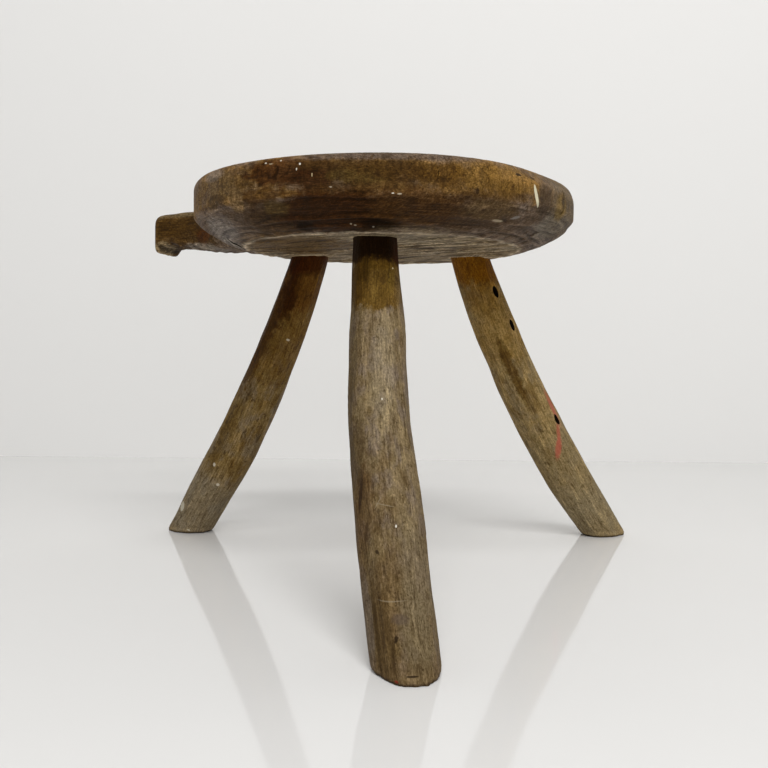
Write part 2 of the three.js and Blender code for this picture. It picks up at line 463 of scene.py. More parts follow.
class Paint(Nodes):
    """Builds up one wood material, coat by coat."""

    def __init__(self, finish: WoodFinish, grain: Grain) -> None:
        """Starts the material from its base colour.

        Args:
            finish: the wood's colours and sizes.
            grain: how the wood's grain runs.
        """
        self.material = bpy.data.materials.new(finish.name)
        super().__init__(self.material)
        self.finish = finish
        self.axes = grain.value
        self.place: Source = self.add("ShaderNodeTexCoord").outputs["Object"]
        self.grain: Source = self.place
        self.colour: Source = linear(finish.base)
        self.height: Source = 0.0

    def overlap(self, *masks: Source) -> Source:
        """Gives how far several masks cover the same place.

        Args:
            *masks: values from 0 to 1.

        Returns:
            Their product.
        """
        share = masks[0]
        for mask in masks[1:]:
            share = self.add("ShaderNodeMath", {0: share, 1: mask}, operation="MULTIPLY")
        return share

    def zone(self, *bounds: tuple[Source, float, float]) -> Source:
        """Marks the places where every one of some values has passed its bound.

        Args:
            *bounds: for each of them the value, where its mask is 0 and where its mask is 1.

        Returns:
            A value from 0 to 1.
        """
        masks = [
            self.add(
                "ShaderNodeMapRange",
                {"Value": value, "From Min": clear, "From Max": full},
                interpolation_type="SMOOTHSTEP",
            )
            for value, clear, full in bounds
        ]
        return self.overlap(*masks)

    def pattern(
        self,
        sizes: tuple[float, float, float],
        low: float,
        high: float,
        detail: float,
        source: Source | None = None,
        seed: float = 0.0,
    ) -> Source:
        """Draws irregular marks of a real size.

        Args:
            sizes: the marks' size along the grain, across the rings and along them, in millimetres.
            low: the noise value that gives 0.
            high: the noise value that gives 1.
            detail: how many finer layers the marks have.
            source: the coordinates, or None for those of the grain.
            seed: a shift that makes it another set of marks.

        Returns:
            A value from 0 to 1.
        """
        scale = [0.0, 0.0, 0.0]
        for axis, size in zip(self.axes, sizes):
            scale[axis] = 1 / (MM * size)
        where = self.add(
            "ShaderNodeMapping",
            {"Vector": source or self.grain, "Scale": scale, "Location": (seed, seed * 0.7, seed * 1.3)},
        )
        marks = self.add(
            "ShaderNodeTexNoise", {"Vector": where, "Scale": 1.0, "Detail": detail, "Roughness": 0.6}
        )
        return self.zone((marks, low, high))

    def coat(self, colour: str, strength: float, *masks: Source) -> None:
        """Lays a colour over the wood where masks overlap.

        Args:
            colour: the colour to lay on.
            strength: how much of it covers.
            *masks: values from 0 to 1.
        """
        self.colour = self.add(
            "ShaderNodeMix",
            {"Factor": self.overlap(*masks, strength), 6: self.colour, 7: linear(colour)},
            data_type="RGBA",
        ).outputs[2]

    def shade(self, clear: float, full: float, mask: Source) -> None:
        """Makes the colour darker or paler by a share that follows a mask.

        Args:
            clear: what the colour is multiplied by where the mask is 0.
            full: what it is multiplied by where the mask is 1.
            mask: a value from 0 to 1.
        """
        share = self.add("ShaderNodeMath", {0: mask, 1: full - clear, 2: clear}, operation="MULTIPLY_ADD")
        self.colour = self.add("ShaderNodeVectorMath", {0: self.colour, "Scale": share}, operation="SCALE")

    def relief(self, depth: float, mask: Source) -> None:
        """Raises the surface by a depth in millimetres where a mask is 1, or cuts it by a negative one."""
        heights = {0: mask, 1: depth, 2: self.height}
        self.height = self.add("ShaderNodeMath", heights, operation="MULTIPLY_ADD")

    def stain_or_painted_light(self, stains_and_painted_light: Sequence[StainOrPaintedLight], fray: float) -> None:
        """Lays on patches of colour: stained places and marks, and painted shadows and highlights.

        Args:
            stains_and_painted_light: the patches, from the first coat to the last.
            fray: the size of the frays of their outlines in millimetres.
        """
        frays = self.add(
            "ShaderNodeTexNoise",
            {"Vector": self.place, "Scale": 1 / (fray * MM), "Detail": 4.0, "Roughness": 0.65},
        )
        rough = self.add("ShaderNodeMath", {0: frays, 1: 2.0, 2: -1.0}, operation="MULTIPLY_ADD")
        for stain_or_painted_light in stains_and_painted_light:
            where = self.add(
                "ShaderNodeMapping",
                {
                    "Vector": self.place,
                    "Location": [c * MM for c in stain_or_painted_light.centre],
                    "Rotation": (0.0, math.radians(stain_or_painted_light.tilt), math.radians(stain_or_painted_light.turn)),
                    "Scale": [r * MM for r in stain_or_painted_light.radii],
                },
                vector_type="TEXTURE",
            )
            away = self.add("ShaderNodeVectorMath", {0: where}, operation="LENGTH").outputs["Value"]
            frayed = self.add(
                "ShaderNodeMath", {0: rough, 1: stain_or_painted_light.raggedness, 2: away}, operation="MULTIPLY_ADD"
            )
            soft = stain_or_painted_light.softness / 2
            self.coat(stain_or_painted_light.colour, stain_or_painted_light.strength, self.zone((frayed, 1 + soft, 1 - soft)))

    def wear(self, name: str, hollow: float, crest: float) -> None:
        """Darkens hollows and makes crests paler by a relief that keep_relief wrote.

        Args:
            name: the relief's name.
            hollow: what the colour is multiplied by in the deepest hollow.
            crest: what it is multiplied by on the highest crest.
        """
        height = self.add("ShaderNodeAttribute", attribute_name=name).outputs["Fac"]
        self.shade(1.0, hollow, self.zone((height, 0.0, -1.0)))
        self.shade(1.0, crest, self.zone((height, 0.1, 1.0)))

    def warm(self) -> None:
        """Makes what is darker than the finish's tone warmer, as old oil does, with less green and blue."""
        parts = self.add("ShaderNodeSeparateColor", {0: self.colour}).outputs
        levels: dict[int | str, Source] = {0: parts[0]}
        for channel, share in ((1, 0.3), (2, 1.0)):
            depth: Source = parts[channel]
            steps = (
                ("DIVIDE", linear(self.finish.tone)[channel]),
                ("MINIMUM", 1.2),
                ("POWER", self.finish.warmth * share),
            )
            for operation, value in steps:
                depth = self.add("ShaderNodeMath", {0: depth, 1: value}, operation=operation)
            levels[channel] = self.overlap(parts[channel], depth)
        self.colour = self.add("ShaderNodeCombineColor", levels)

    def lay_tones(self) -> None:
        """Lays on the wood's broad tones: cleaner, greyer and darker places, and the growth rings."""
        finish = self.finish
        size, spacing = finish.blotch, finish.ring_spacing
        self.coat(finish.pale, 0.6, self.pattern((size * 1.8, size, size), 0.38, 0.62, 4.0))
        greyed = self.pattern((size * 1.1, size * 0.6, size * 0.6), 0.44, 0.62, 5.0, seed=17.0)
        self.coat(finish.grey, 0.6, greyed)
        deep = self.pattern((size * 1.2, size * 0.5, size * 0.5), 0.5, 0.66, 5.0, seed=7.0)
        self.coat(finish.dark, 0.55, deep)
        rings = self.pattern((40 * spacing, spacing, 12 * spacing), 0.35, 0.65, 2.0, seed=3.0)
        self.shade(1.1, 0.86, rings)
        self.relief(-0.05, rings)

    def lay_fibres(self) -> Source:
        """Lays on the wood's fine structure: mottled dirt, split fibres, open pores and grime.

        Returns:
            The grime's mask.
        """
        finish, calm = self.finish, self.finish.calm
        length, width = finish.fibre_length, finish.fibre_width
        mottle = self.pattern((4.0, 2.4, 2.4), 0.3, 0.7, 6.0, seed=13.0)
        self.shade(0.71 + 0.15 * calm, 1.31 - 0.15 * calm, mottle)
        grit = self.pattern((1.5, 1.0, 1.0), 0.3, 0.7, 3.0, seed=29.0)
        self.shade(0.73, 1.3, grit)
        fibres = self.pattern((length, width, width), 0.3, 0.7, 3.0, seed=11.0)
        self.shade(0.74 + 0.1 * calm, 1.26 - 0.1 * calm, fibres)
        threads = self.pattern((length * 3.4, width * 1.3, width * 1.3), 0.34, 0.66, 3.0, seed=19.0)
        self.shade(0.86, 1.14, threads)
        # Crisp small things, a little wider than real ones so that they show: raised pale fibres, fine cracks
        # along the grain and open pits.
        self.shade(1.0, 1.26, self.pattern((length * 1.1, 1.2, 1.2), 0.58, 0.64, 4.0, seed=37.0))
        cracks = self.pattern((length * 1.7, 1.1, 1.1), 0.6, 0.66, 3.0, seed=23.0)
        self.coat(finish.grime, 0.45, cracks)
        pits = self.pattern((1.9, 1.3, 1.3), 0.63, 0.67, 3.0, seed=31.0)
        self.coat(finish.grime, 0.55, pits)
        low = 0.64 - 0.22 * finish.grime_amount
        grime = self.pattern((9.0, 5.0, 5.0), low, low + 0.12, 6.0, seed=41.0)
        self.coat(finish.grime, 0.5, grime)
        for depth, mask in ((0.12, mottle), (0.06, grit), (0.1, fibres), (-0.15, cracks), (-0.15, pits)):
            self.relief(depth, mask)
        self.warm()
        return grime

    def close(self, grime: Source | None = None, polish: float = 0.0) -> bpy.types.Material:
        """Joins colour, roughness and relief in the shader.

        Args:
            grime: the mask of the grime that hands have polished, or None.
            polish: how much less rough it is.

        Returns:
            The finished material.
        """
        finish = self.finish
        rough: Source = finish.roughness
        if grime is not None:
            rough = self.add("ShaderNodeMath", {0: grime, 1: -polish, 2: rough}, operation="MULTIPLY_ADD")
        bump = self.add("ShaderNodeBump", {"Strength": 1.0, "Distance": MM, "Height": self.height})
        shader = self.add(
            "ShaderNodeBsdfPrincipled",
            {
                "Base Color": self.colour,
                "Roughness": rough,
                "IOR": finish.ior,
                "Specular IOR Level": finish.gloss,
                "Specular Tint": linear(finish.gloss_tint),
                "Normal": bump,
            },
        )
        self.add("ShaderNodeOutputMaterial", {"Surface": shader})
        return self.material


# The seat


@dataclass(frozen=True)
class Section:
    """One upright section of the grip: how far out it lies, and its width, top and bottom."""

    reach: float
    width: float
    top: float
    bottom: float

    @property
    def middle(self) -> Vector:
        """Its middle point."""
        return Vector((self.reach, 0, (self.top + self.bottom) / 2))

    @property
    def thickness(self) -> float:
        """Its height."""
        return self.top - self.bottom


@dataclass
class Seat:
    """The round seat and its grip, hewn from one plank, with the strokes of each tool."""

    centre: Vector
    diameter: float = 290.0
    flat_diameter: float = 214.0
    top: float = 293.5
    thickness: float = 45.5
    rim_depth: float = 28.0
    rim_softening: float = 3.0
    belly_inset: float = 7.0
    belly_drop: float = 9.5
    belly_steps: int = 7
    top_edge_round: float = 5.5
    out_of_round: float = 1.5
    worn_inset: float = 9.0
    worn_azimuth: float = -36.0
    worn_spread: float = 24.0
    decay_azimuth: float = -121.0
    decay_spread: float = 9.0
    dish_depth: float = 0.7
    grip_azimuth: float = 151.0
    grip_length: float = 87.2
    grip_width: float = 41.0
    grip_thickness: float = 29.5
    grip_drop: float = 5.2
    grip_flare: float = 12.0
    grip_skew: float = 15.0
    lip_depth: float = 5.6
    grain_size: float = 1.5
    rim_sides: int = 144
    ripple: Strokes = Strokes(11, 26, 1.5, 4.0)
    gouge: Strokes = Strokes(58, 15, 1.25, 2.0)
    ridge: Strokes = Strokes(30, 5, 0.3, 6.0)
    facet: Strokes = Strokes(96, 8.5, 1.35, 9.0)
    scrape: Strokes = Strokes(60, 3.2, 0.3, 12.0)
    chop: Strokes = Strokes(13, 40, 0.3, 15.0)
    plane: Strokes = Strokes(70, 16, 0.32, 18.0)
    piece: bpy.types.Object | None = field(default=None, repr=False)

    @property
    def radius(self) -> float:
        """The rim's radius."""
        return self.diameter / 2

    @property
    def underside(self) -> float:
        """The height of the flat underside."""
        return self.top - self.thickness

    @property
    def bevel_top(self) -> float:
        """The height at which the bevel begins under the rim."""
        return self.top - self.rim_depth

    @property
    def frame(self) -> Matrix:
        """Turns the seat from its own axes, with the grip along +X, to its place."""
        turn = Matrix.Rotation(math.radians(self.grip_azimuth), 4, "Z")
        return Matrix.Translation(Vector((self.centre.x, self.centre.y, 0)) * MM) @ turn

    def build(self, tenons: Sequence[bpy.types.Object]) -> bpy.types.Object:
        """Makes the seat with its grip and mortises.

        Args:
            tenons: solids the size of the mortises, in place.

        Returns:
            The finished piece.
        """
        slab = self._slab()
        grip = self._grip()
        pick_up(slab)
        grip.select_set(True)
        bpy.ops.object.join()
        apply_modifier(slab, "REMESH", mode="VOXEL", voxel_size=self.grain_size * MM)
        apply_modifier(slab, "SMOOTH", factor=0.5, iterations=2)
        carve(slab, self._wear)
        carve(slab, self._hew)
        place(slab, self.frame)
        cut(slab, [*tenons, *self._cracks()])
        keep_relief(slab, "relief", rounds=10, full=0.22)
        keep_relief(slab, "lie", rounds=90, full=0.9)
        finish_piece(slab, "hewn_seat")
        self.piece = slab
        return slab

    def _slab(self) -> bpy.types.Object:
        """Turns the round slab: a band for the rim, a bulging bevel under it and a rounded top edge.

        Returns:
            The slab in the seat's own axes.
        """
        band_bottom = self.bevel_top + self.rim_softening
        leave_selection()
        bpy.ops.mesh.primitive_cylinder_add(
            vertices=self.rim_sides,
            radius=self.radius * MM,
            depth=(self.top - band_bottom) * MM,
            location=(0, 0, (self.top + band_bottom) / 2 * MM),
        )
        slab = settle()
        # The bevel's curve runs from the band past the belly to the flat underside.
        band = Vector((self.radius, 0, band_bottom))
        belly = Vector((self.radius - self.belly_inset, 0, self.bevel_top - self.belly_drop))
        flat = Vector((self.flat_diameter / 2, 0, self.underside))
        old = band
        near_top = (self.top - 0.1) * MM
        with editing(slab):
            choose(slab, lambda mesh: [f for f in mesh.faces if f.normal.z < -0.9])
            for step in range(1, self.belly_steps + 1):
                share = step / self.belly_steps
                rest = 1 - share
                new = band * rest * rest + belly * 2 * share * rest + flat * share * share
                grow = new.x / old.x
                draw_on(Vector((0, 0, new.z - old.z)), (grow, grow, 1), Vector((0, 0, new.z)))
                old = new
            self._close_cap(flat.x)
            choose(slab, lambda mesh: [e for e in mesh.edges if all(v.co.z > near_top for v in e.verts)])
            bpy.ops.mesh.bevel(offset=self.top_edge_round * MM, segments=4, profile=0.5, affect="EDGES")
            choose(slab, lambda mesh: [f for f in mesh.faces if f.normal.z > 0.9 and f.calc_area() > 0.01])
            self._close_cap(self.radius - self.top_edge_round)
        return slab

    def _close_cap(self, radius: float) -> None:
        """Divides the selected round cap into rings and a small fan.

        Args:
            radius: the cap's radius.
        """
        for _ in range(3):
            bpy.ops.mesh.inset(thickness=radius * 0.28 * MM)
        bpy.ops.mesh.poke()

    def _grip(self) -> bpy.types.Object:
        """Draws the grip out along +X from inside the slab, with its flare, its waist and its hooked end.

        Returns:
            The grip in the seat's own axes.
        """
        top = self.top - self.grip_drop
        bottom = top - self.grip_thickness
        root = self.underside + 4
        tip = self.radius + self.grip_length
        wide = self.grip_width
        flared = wide + 2 * self.grip_flare
        cap_depth, cap_taper = 2.4, (1, 0.84, 0.72)
        sections = [
            Section(self.radius - 34, flared, top, root),
            Section(self.radius - 5, flared, top, root + 2),
            Section(self.radius + 8, wide + self.grip_flare, top, root + 3),
            Section(self.radius + 22, wide + 3, top, bottom - 4.5),
            Section(self.radius + 42, wide, top, bottom - 1.6),
            Section(tip - 27, wide, top - 0.4, bottom + 0.8),
            Section(tip - 7.6, wide, top - 0.9, bottom + 1.6),
            Section(tip - 5.4, wide, top - 1.4, bottom - self.lip_depth + 0.2),
            Section(tip - cap_depth, wide, top - 3.2, bottom - self.lip_depth),
        ]
        first = sections[0]
        leave_selection()
        bpy.ops.mesh.primitive_grid_add(
            x_subdivisions=4,
            y_subdivisions=4,
            size=1,
            rotation=(0, math.pi / 2, 0),
            location=first.middle * MM,
        )
        bpy.context.object.scale = (first.thickness * MM, first.width * MM, 1)
        grip = settle()
        with editing(grip):
            for before, after in zip(sections, sections[1:]):
                grow = (1, after.width / before.width, after.thickness / before.thickness)
                draw_on(after.middle - before.middle, grow, after.middle)
            out = Vector((cap_depth, 0, 0))
            draw_on(out, cap_taper, after.middle + out)
        face_outwards(grip)
        apply_modifier(grip, "SUBSURF", levels=3, render_levels=3)
        carve(grip, self._skew)
        return grip

    def _skew(self, point: Vector, _normal: Vector) -> Vector:
        """Shortens the grip's front side towards its end.

        Args:
            point: a point in the seat's own axes.
            _normal: not used.

        Returns:
            The moved point.
        """
        share = smoothstep(point.x, self.radius + 30, self.radius + self.grip_length)
        front = (point.y / self.grip_width + 0.5) * math.tan(math.radians(self.grip_skew)) * self.grip_width
        return Vector((point.x - share * front, point.y, point.z))

    def _wear(self, point: Vector, _normal: Vector) -> Vector:
        """Takes the rim out of round and wears the top edge back on one side.

        Args:
            point: a point in the seat's own axes.
            _normal: not used.

        Returns:
            The moved point.
        """
        radius = math.hypot(point.x, point.y)
        if radius < 1:
            return point
        turn = wrapped(math.atan2(point.y, point.x) + math.radians(self.grip_azimuth))
        # One, two and five gentle bulges round the rim.
        hewn = 0.55 * math.cos(turn) + 0.25 * math.cos(2 * turn + 0.6) + 0.2 * math.cos(5 * turn - 1.1)
        worn = math.exp(-(((math.degrees(turn) - self.worn_azimuth) / self.worn_spread) ** 2))
        rise = smoothstep(point.z, self.top - 2.5 * self.top_edge_round, self.top)
        shift = self.out_of_round * hewn * radius / self.radius - self.worn_inset * worn * rise
        shift *= 1 - smoothstep(radius, self.radius + 2, self.radius + 12)
        grow = 1 + shift / radius
        return Vector((point.x * grow, point.y * grow, point.z))

    def _hew(self, point: Vector, normal: Vector) -> Vector:
        """Leaves the marks of axe, knife and use on the seat.

        Args:
            point: a point in the seat's own axes.
            normal: the surface's direction there.

        Returns:
            The moved point.
        """
        x, y, z = point
        radius = math.hypot(x, y)
        if radius > self.radius + 3:
            return point - normal * self._whittled(point, normal)
        turn = math.atan2(y, x)
        arc = turn * self.radius
        under = smoothstep(-normal.z, 0.93, 0.99)
        bevel = smoothstep(-normal.z, 0.12, 0.3) * (1 - under)
        upper = smoothstep(normal.z, 0.8, 0.97)
        rim = max(0.0, 1 - under - bevel - upper)
        depth = 0.0
        if under > 0:
            bend = 7.0 * swell(x / 44, y / 30, 1.7)
            broad = 0.5 + 0.5 * swell(x / 60, y / 34, 5.0)
            depth += under * (self.gouge.at(x, y + bend) + self.ridge.at(x, y + bend) + 0.5 * broad - 0.95)
        if bevel > 0:
            slant = math.hypot(self.radius - radius, z - self.underside)
            slant += 3.0 * swell(arc / 60, slant / 20, 8.0)
            depth += bevel * (self.facet.at(arc, slant) + self.scrape.at(arc, slant) - 1.0)
        if rim > 0:
            dent = 0.5 + 0.5 * swell(arc / 26, z / 15, 3.0)
            calm = 1 - 0.7 * smoothstep(z, self.top - 9, self.top - 3)
            depth += rim * ((0.6 * dent + self.chop.at(arc, z) - 0.45) * calm - 0.4)
        if upper > 0:
            dish = self.dish_depth * (1 - min(1.0, radius / self.radius) ** 2)
            inner = 1 - smoothstep(radius, self.radius - 18, self.radius - 8)
            depth += upper * (dish + self.plane.at(x, y) * inner)
        depth += 0.06 * swell(x / 2.6, y / 2.6, z / 2.6)
        # One stretch of the rim has decayed and crumbled.
        azimuth = math.degrees(wrapped(turn + math.radians(self.grip_azimuth)))
        decay = math.exp(-(((azimuth - self.decay_azimuth) / self.decay_spread) ** 2))
        decay *= smoothstep(z, 270, 280) * rim
        depth += decay * (0.4 + 1.5 * max(0.0, swell(x / 3.1, y / 3.1, z / 3.1)))
        hewn = point - normal * depth
        return Vector((hewn.x, hewn.y, min(hewn.z, self.top)))

    def _whittled(self, point: Vector, normal: Vector) -> float:
        """Gives how deep the knife has cut into the grip, most of all across its lower side.

        Args:
            point: a point in the seat's own axes.
            normal: the surface's direction there.

        Returns:
            The depth.
        """
        depth = 0.6 * swell(point.x / 16, point.y / 13, point.z / 13) - 0.05
        if normal.z < -0.25:
            depth += self.ripple.at(point.x, point.y) * smoothstep(-normal.z, 0.25, 0.6)
        return depth

    def _cracks(self) -> list[bpy.types.Object]:
        """Makes the lenses for the cracks in the bevel, the rim and the end grain of the grip.

        Returns:
            The lenses in place.
        """
        rows = (
            ((-124.9, 38.5, 249.8), (7.5, 33.1, -3.3), (1, -0.23, 0), (38, 3.0, 8)),
            ((21.6, -86.0, 279.4), (0.1, 0, 1), (1, 0.25, 0), (8, 0.7, 5)),
            (self.centre + polar(141, 197, 279), (0, 0.12, 1), (0.3, -1, 0), (15, 0.7, 9)),
            (self.centre + polar(230, 152.5, 272), (0.25, 0.5, 0.7), (0.5, 1, 0), (22, 0.8, 9)),
        )
        return [put_lens(*(Vector(value) for value in row)) for row in rows]

    def dress(self, finish: WoodFinish) -> None:
        """Gives the seat its wood.

        Args:
            finish: the seat's finish.
        """
        paint = Paint(finish, Grain.ALONG_X)
        paint.grain = paint.add(
            "ShaderNodeMapping",
            {
                "Vector": paint.place,
                "Location": (self.centre.x * MM, self.centre.y * MM, 0.0),
                "Rotation": (0, 0, math.radians(self.grip_azimuth)),
            },
            vector_type="TEXTURE",
        )
        paint.lay_tones()
        x, y, z = paint.add("ShaderNodeSeparateXYZ", {0: paint.grain}).outputs
        # Round coordinates: the way round the rim, the distance from the middle and the height.
        level = paint.add("ShaderNodeCombineXYZ", {0: x, 1: y})
        radius = paint.add("ShaderNodeVectorMath", {0: level}, operation="LENGTH").outputs["Value"]
        turn = paint.add("ShaderNodeMath", {0: y, 1: x}, operation="ARCTAN2")
        arc = paint.add("ShaderNodeMath", {0: turn, 1: self.radius * MM}, operation="MULTIPLY")
        rounded = paint.add("ShaderNodeCombineXYZ", {0: arc, 1: radius, 2: z})
        ragged = paint.pattern((16, 9, 9), 0.0, 1.0, 4.0, seed=51.0)
        height = paint.add("ShaderNodeMath", {0: ragged, 1: 8 * MM, 2: z}, operation="MULTIPLY_ADD")
        inside = paint.add("ShaderNodeMath", {0: ragged, 1: -5 * MM, 2: radius}, operation="MULTIPLY_ADD")
        line, flat, low = self.bevel_top, self.flat_diameter / 2, self.underside
        bevel = paint.zone((height, (line + 7.5) * MM, (line + 3) * MM))
        under = paint.zone(
            (inside, (flat - 1.5) * MM, (flat - 4) * MM),
            (z, (low + 7) * MM, (low + 4) * MM),
        )
        # The bevel has dried grey, and the flat underside is paler, in streaks along its wandering grain.
        paint.coat(finish.grey, 0.85, bevel)
        browned = paint.pattern((30, 16, 12), 0.46, 0.6, 4.0, rounded, seed=77.0)
        paint.coat("#4b3a28", 0.65, browned, bevel)
        paint.coat("#756347", 0.9, under)
        bend = paint.pattern((46, 34, 60), 0.0, 1.0, 1.0, seed=63.0)
        astray = paint.add("ShaderNodeMath", {0: bend, 1: 26 * MM, 2: y}, operation="MULTIPLY_ADD")
        wavy = paint.add("ShaderNodeCombineXYZ", {0: x, 1: astray, 2: z})
        paint.coat("#96856a", 0.75, paint.pattern((52, 6, 20), 0.46, 0.58, 5.0, wavy, seed=61.0), under)
        paint.coat("#33271a", 0.75, paint.pattern((44, 4.5, 20), 0.52, 0.6, 5.0, wavy, seed=67.0), under)
        paint.stain_or_painted_light(finish.patches, fray=7.0)
        # The edge between bevel and underside is rubbed pale, in stretches.
        edge = paint.zone(
            (inside, (flat - 6) * MM, (flat - 3.5) * MM),
            (inside, flat * MM, (flat - 2.5) * MM),
            (z, (low + 8) * MM, (low + 5) * MM),
        )
        paint.coat("#9a8b74", 0.62, edge, paint.pattern((26, 26, 26), 0.36, 0.5, 3.0, seed=91.0))
        # Fine upright lines on the rim, and the knife's long scrapes round the bevel.
        rim = paint.add("ShaderNodeMath", {0: 1.0, 1: bevel}, operation="SUBTRACT")
        paint.coat(finish.dark, 0.5, paint.pattern((1.2, 1.2, 12), 0.52, 0.66, 3.0, rounded, seed=71.0), rim)
        scrapes = paint.pattern((46, 1.6, 1.6), 0.3, 0.7, 4.0, rounded, seed=5.0)
        centred = paint.add("ShaderNodeMath", {0: scrapes, 1: 0.5}, operation="SUBTRACT")
        keen = paint.overlap(bevel, paint.pattern((40, 14, 14), 0.4, 0.62, 3.0, rounded, seed=83.0))
        scraped = paint.add("ShaderNodeMath", {0: centred, 1: keen, 2: 0.5}, operation="MULTIPLY_ADD")
        paint.shade(0.5, 1.5, scraped)
        # Fine scratches cross the bevel aslant.
        aslant = paint.add("ShaderNodeMapping", {"Vector": rounded, "Rotation": (0.0, math.radians(34), 0.0)})
        scratches = paint.pattern((34, 40, 1.1), 0.57, 0.63, 3.0, aslant, seed=87.0)
        paint.shade(1.0, 1.4, paint.overlap(scratches, bevel))
        paint.relief(0.2, scraped)
        paint.wear("relief", hollow=0.48, crest=1.45)
        paint.wear("lie", hollow=0.7, crest=1.12)
        grime = paint.lay_fibres()
        paint.stain_or_painted_light(finish.marks, fray=1.1)
        self.piece.data.materials.clear()
        self.piece.data.materials.append(paint.close(grime, polish=0.12))


# The legs


class Post(Enum):
    """Which of the three legs."""

    FRONT = "front"
    LEFT = "left"
    RIGHT = "right"


@dataclass(frozen=True)
class Lump:
    """A swelling of the branch: its share of the way up, its side in degrees, its height and its reach."""

    share: float
    turn: float
    height: float
    reach: float


@dataclass(frozen=True)
class Flat:
    """A planed flat: the shares of the way up where it begins and ends, its side in degrees and its depth."""

    low: float
    high: float
    turn: float
    depth: float


@dataclass(frozen=True)
class Bore:
    """A beetle's hole: its share of the way down from the seat, and its side in degrees."""

    down: float
    turn: float


@dataclass
class Leg:
    """One bent branch: its tenon, its shank and its worn foot."""

    post: Post
    seat: Seat
    foot: Vector
    socket_radius: float
    socket_azimuth: float
    stoutness: float
    seed: float
    sway: float = 0.0
    bow: float = 11.2
    neck: float = 31.0
    belly: float = 39.5
    foot_diameter: float = 37.5
    belly_place: float = 0.62
    tenon_tip: float = 26.0
    tenon_recess: float = 0.5
    foot_round: float = 3.0
    clearance: float = 0.3
    facets: int = 10
    sides: int = 16
    stations: int = 26
    foot_spare: float = 0.09
    tip_spare: float = 0.07
    mortise_spare: tuple[float, float] = (0.07, 0.12)
    lumps: tuple[Lump, ...] = ()
    flats: tuple[Flat, ...] = ()
    bores: tuple[Bore, ...] = ()
    bore_width: float = 5.5
    bore_length: float = 10.5
    bore_depth: float = 14.0
    check_lengths: tuple[float, ...] = (9.0, 6.0)
    ovals: list[Matrix] = field(default_factory=list, repr=False)
    piece: bpy.types.Object | None = field(default=None, repr=False)

    def __post_init__(self) -> None:
        """Works out the leg's own axes: up along its chord, with +X away from the seat's centre."""
        self.socket = self.seat.centre + polar(self.socket_radius, self.socket_azimuth, self.seat.underside)
        chord = self.socket - self.foot
        self.length = chord.length
        rise = chord.normalized()
        outwards = Vector((-chord.x, -chord.y, 0)).normalized()
        across = outwards - rise * outwards.dot(rise)
        across.normalize()
        self.turn = Matrix((across, rise.cross(across), rise)).transposed()
        sideways = Vector((-outwards.y, outwards.x, 0))
        control = (self.socket + self.foot) / 2 - outwards * 2 * self.bow + sideways * 2 * self.sway
        self.control = self.turn.transposed() @ (control - self.foot)
        self.tip_height = self.seat.top - self.tenon_recess

    @property
    def frame(self) -> Matrix:
        """Turns the leg from its own axes to its place."""
        return Matrix.Translation(self.foot * MM) @ self.turn.to_4x4()

    @property
    def tip_share(self) -> float:
        """The share at which the middle line reaches the tenon's end."""
        lean = (self.turn @ (Vector((0, 0, self.length)) - self.control)).z
        return 1 + (self.tip_height - self.seat.underside) / (2 * lean)

    def middle(self, share: float) -> Vector:
        """Gives a point of the middle line in the leg's own axes.

        Args:
            share: 0 at the foot, 1 at the seat's underside, less or more beyond them.

        Returns:
            The point.
        """
        end = Vector((0, 0, self.length))
        if share < 0:
            return self.control * 2 * share
        if share > 1:
            return end + (end - self.control) * 2 * (share - 1)
        return self.control * 2 * share * (1 - share) + end * share * share

    def share_at(self, height: float) -> float:
        """Finds where the middle line reaches a height in the leg's own axes.

        Args:
            height: the height above the foot along the chord.

        Returns:
            The share, as middle() takes it.
        """
        low, high = -0.3, 1.5
        for _ in range(22):
            half = (low + high) / 2
            if self.middle(half).z < height:
                low = half
            else:
                high = half
        return (low + high) / 2

    def diameter(self, share: float) -> float:
        """Gives the leg's thickness, a curve through those of its neck, belly and foot, and then the tenon's.

        Args:
            share: 0 at the foot and 1 at the seat's underside.

        Returns:
            The diameter there.
        """
        down = 1 - min(1.0, max(0.0, share))
        widest = self.belly_place
        neck = (down - widest) * (down - 1) / widest
        belly = down * (down - 1) / (widest * (widest - 1))
        foot = down * (down - widest) / (1 - widest)
        size = self.stoutness * (neck * self.neck + belly * self.belly + foot * self.foot_diameter)
        if share > 1:
            size += (self.tenon_tip - size) * min(1.3, (share - 1) / (self.tip_share - 1))
        return size

    def _pole(
        self, ends: tuple[float, float], steps: int, sides: int, width: Callable[[float], float]
    ) -> bpy.types.Object:
        """Draws a closed round pole out along the middle line.

        Args:
            ends: the shares at which it begins and ends.
            steps: how many stretches it has.
            sides: how many sides it has.
            width: gives its diameter at a share.

        Returns:
            The pole in the leg's own axes.
        """
        start, end = ends
        shares = [start + (end - start) * step / steps for step in range(steps + 1)]
        leave_selection()
        bpy.ops.mesh.primitive_circle_add(
            vertices=sides,
            radius=width(start) / 2 * MM,
            fill_type="NGON",
            location=self.middle(start) * MM,
        )
        pole = settle()
        with editing(pole):
            for before, after in zip(shares, shares[1:]):
                old, new = self.middle(before), self.middle(after)
                grow = width(after) / width(before)
                draw_on(new - old, (grow, grow, 1), new)
        face_outwards(pole)
        return pole

    def mortise(self) -> bpy.types.Object:
        """Makes the solid that the seat loses to this leg's tenon.

        Returns:
            A tapered round solid that stands out of both faces of the seat.
        """
        below, above = self.mortise_spare
        core = self._pole(
            (1 - below, self.tip_share + above),
            steps=6,
            sides=64,
            width=lambda share: self.diameter(max(1.0, share)) + 2 * self.clearance,
        )
        place(core, self.frame)
        return core

    def build(self) -> bpy.types.Object:
        """Makes the leg, cut level with the floor and with the tenon's end.

        Returns:
            The finished piece.
        """
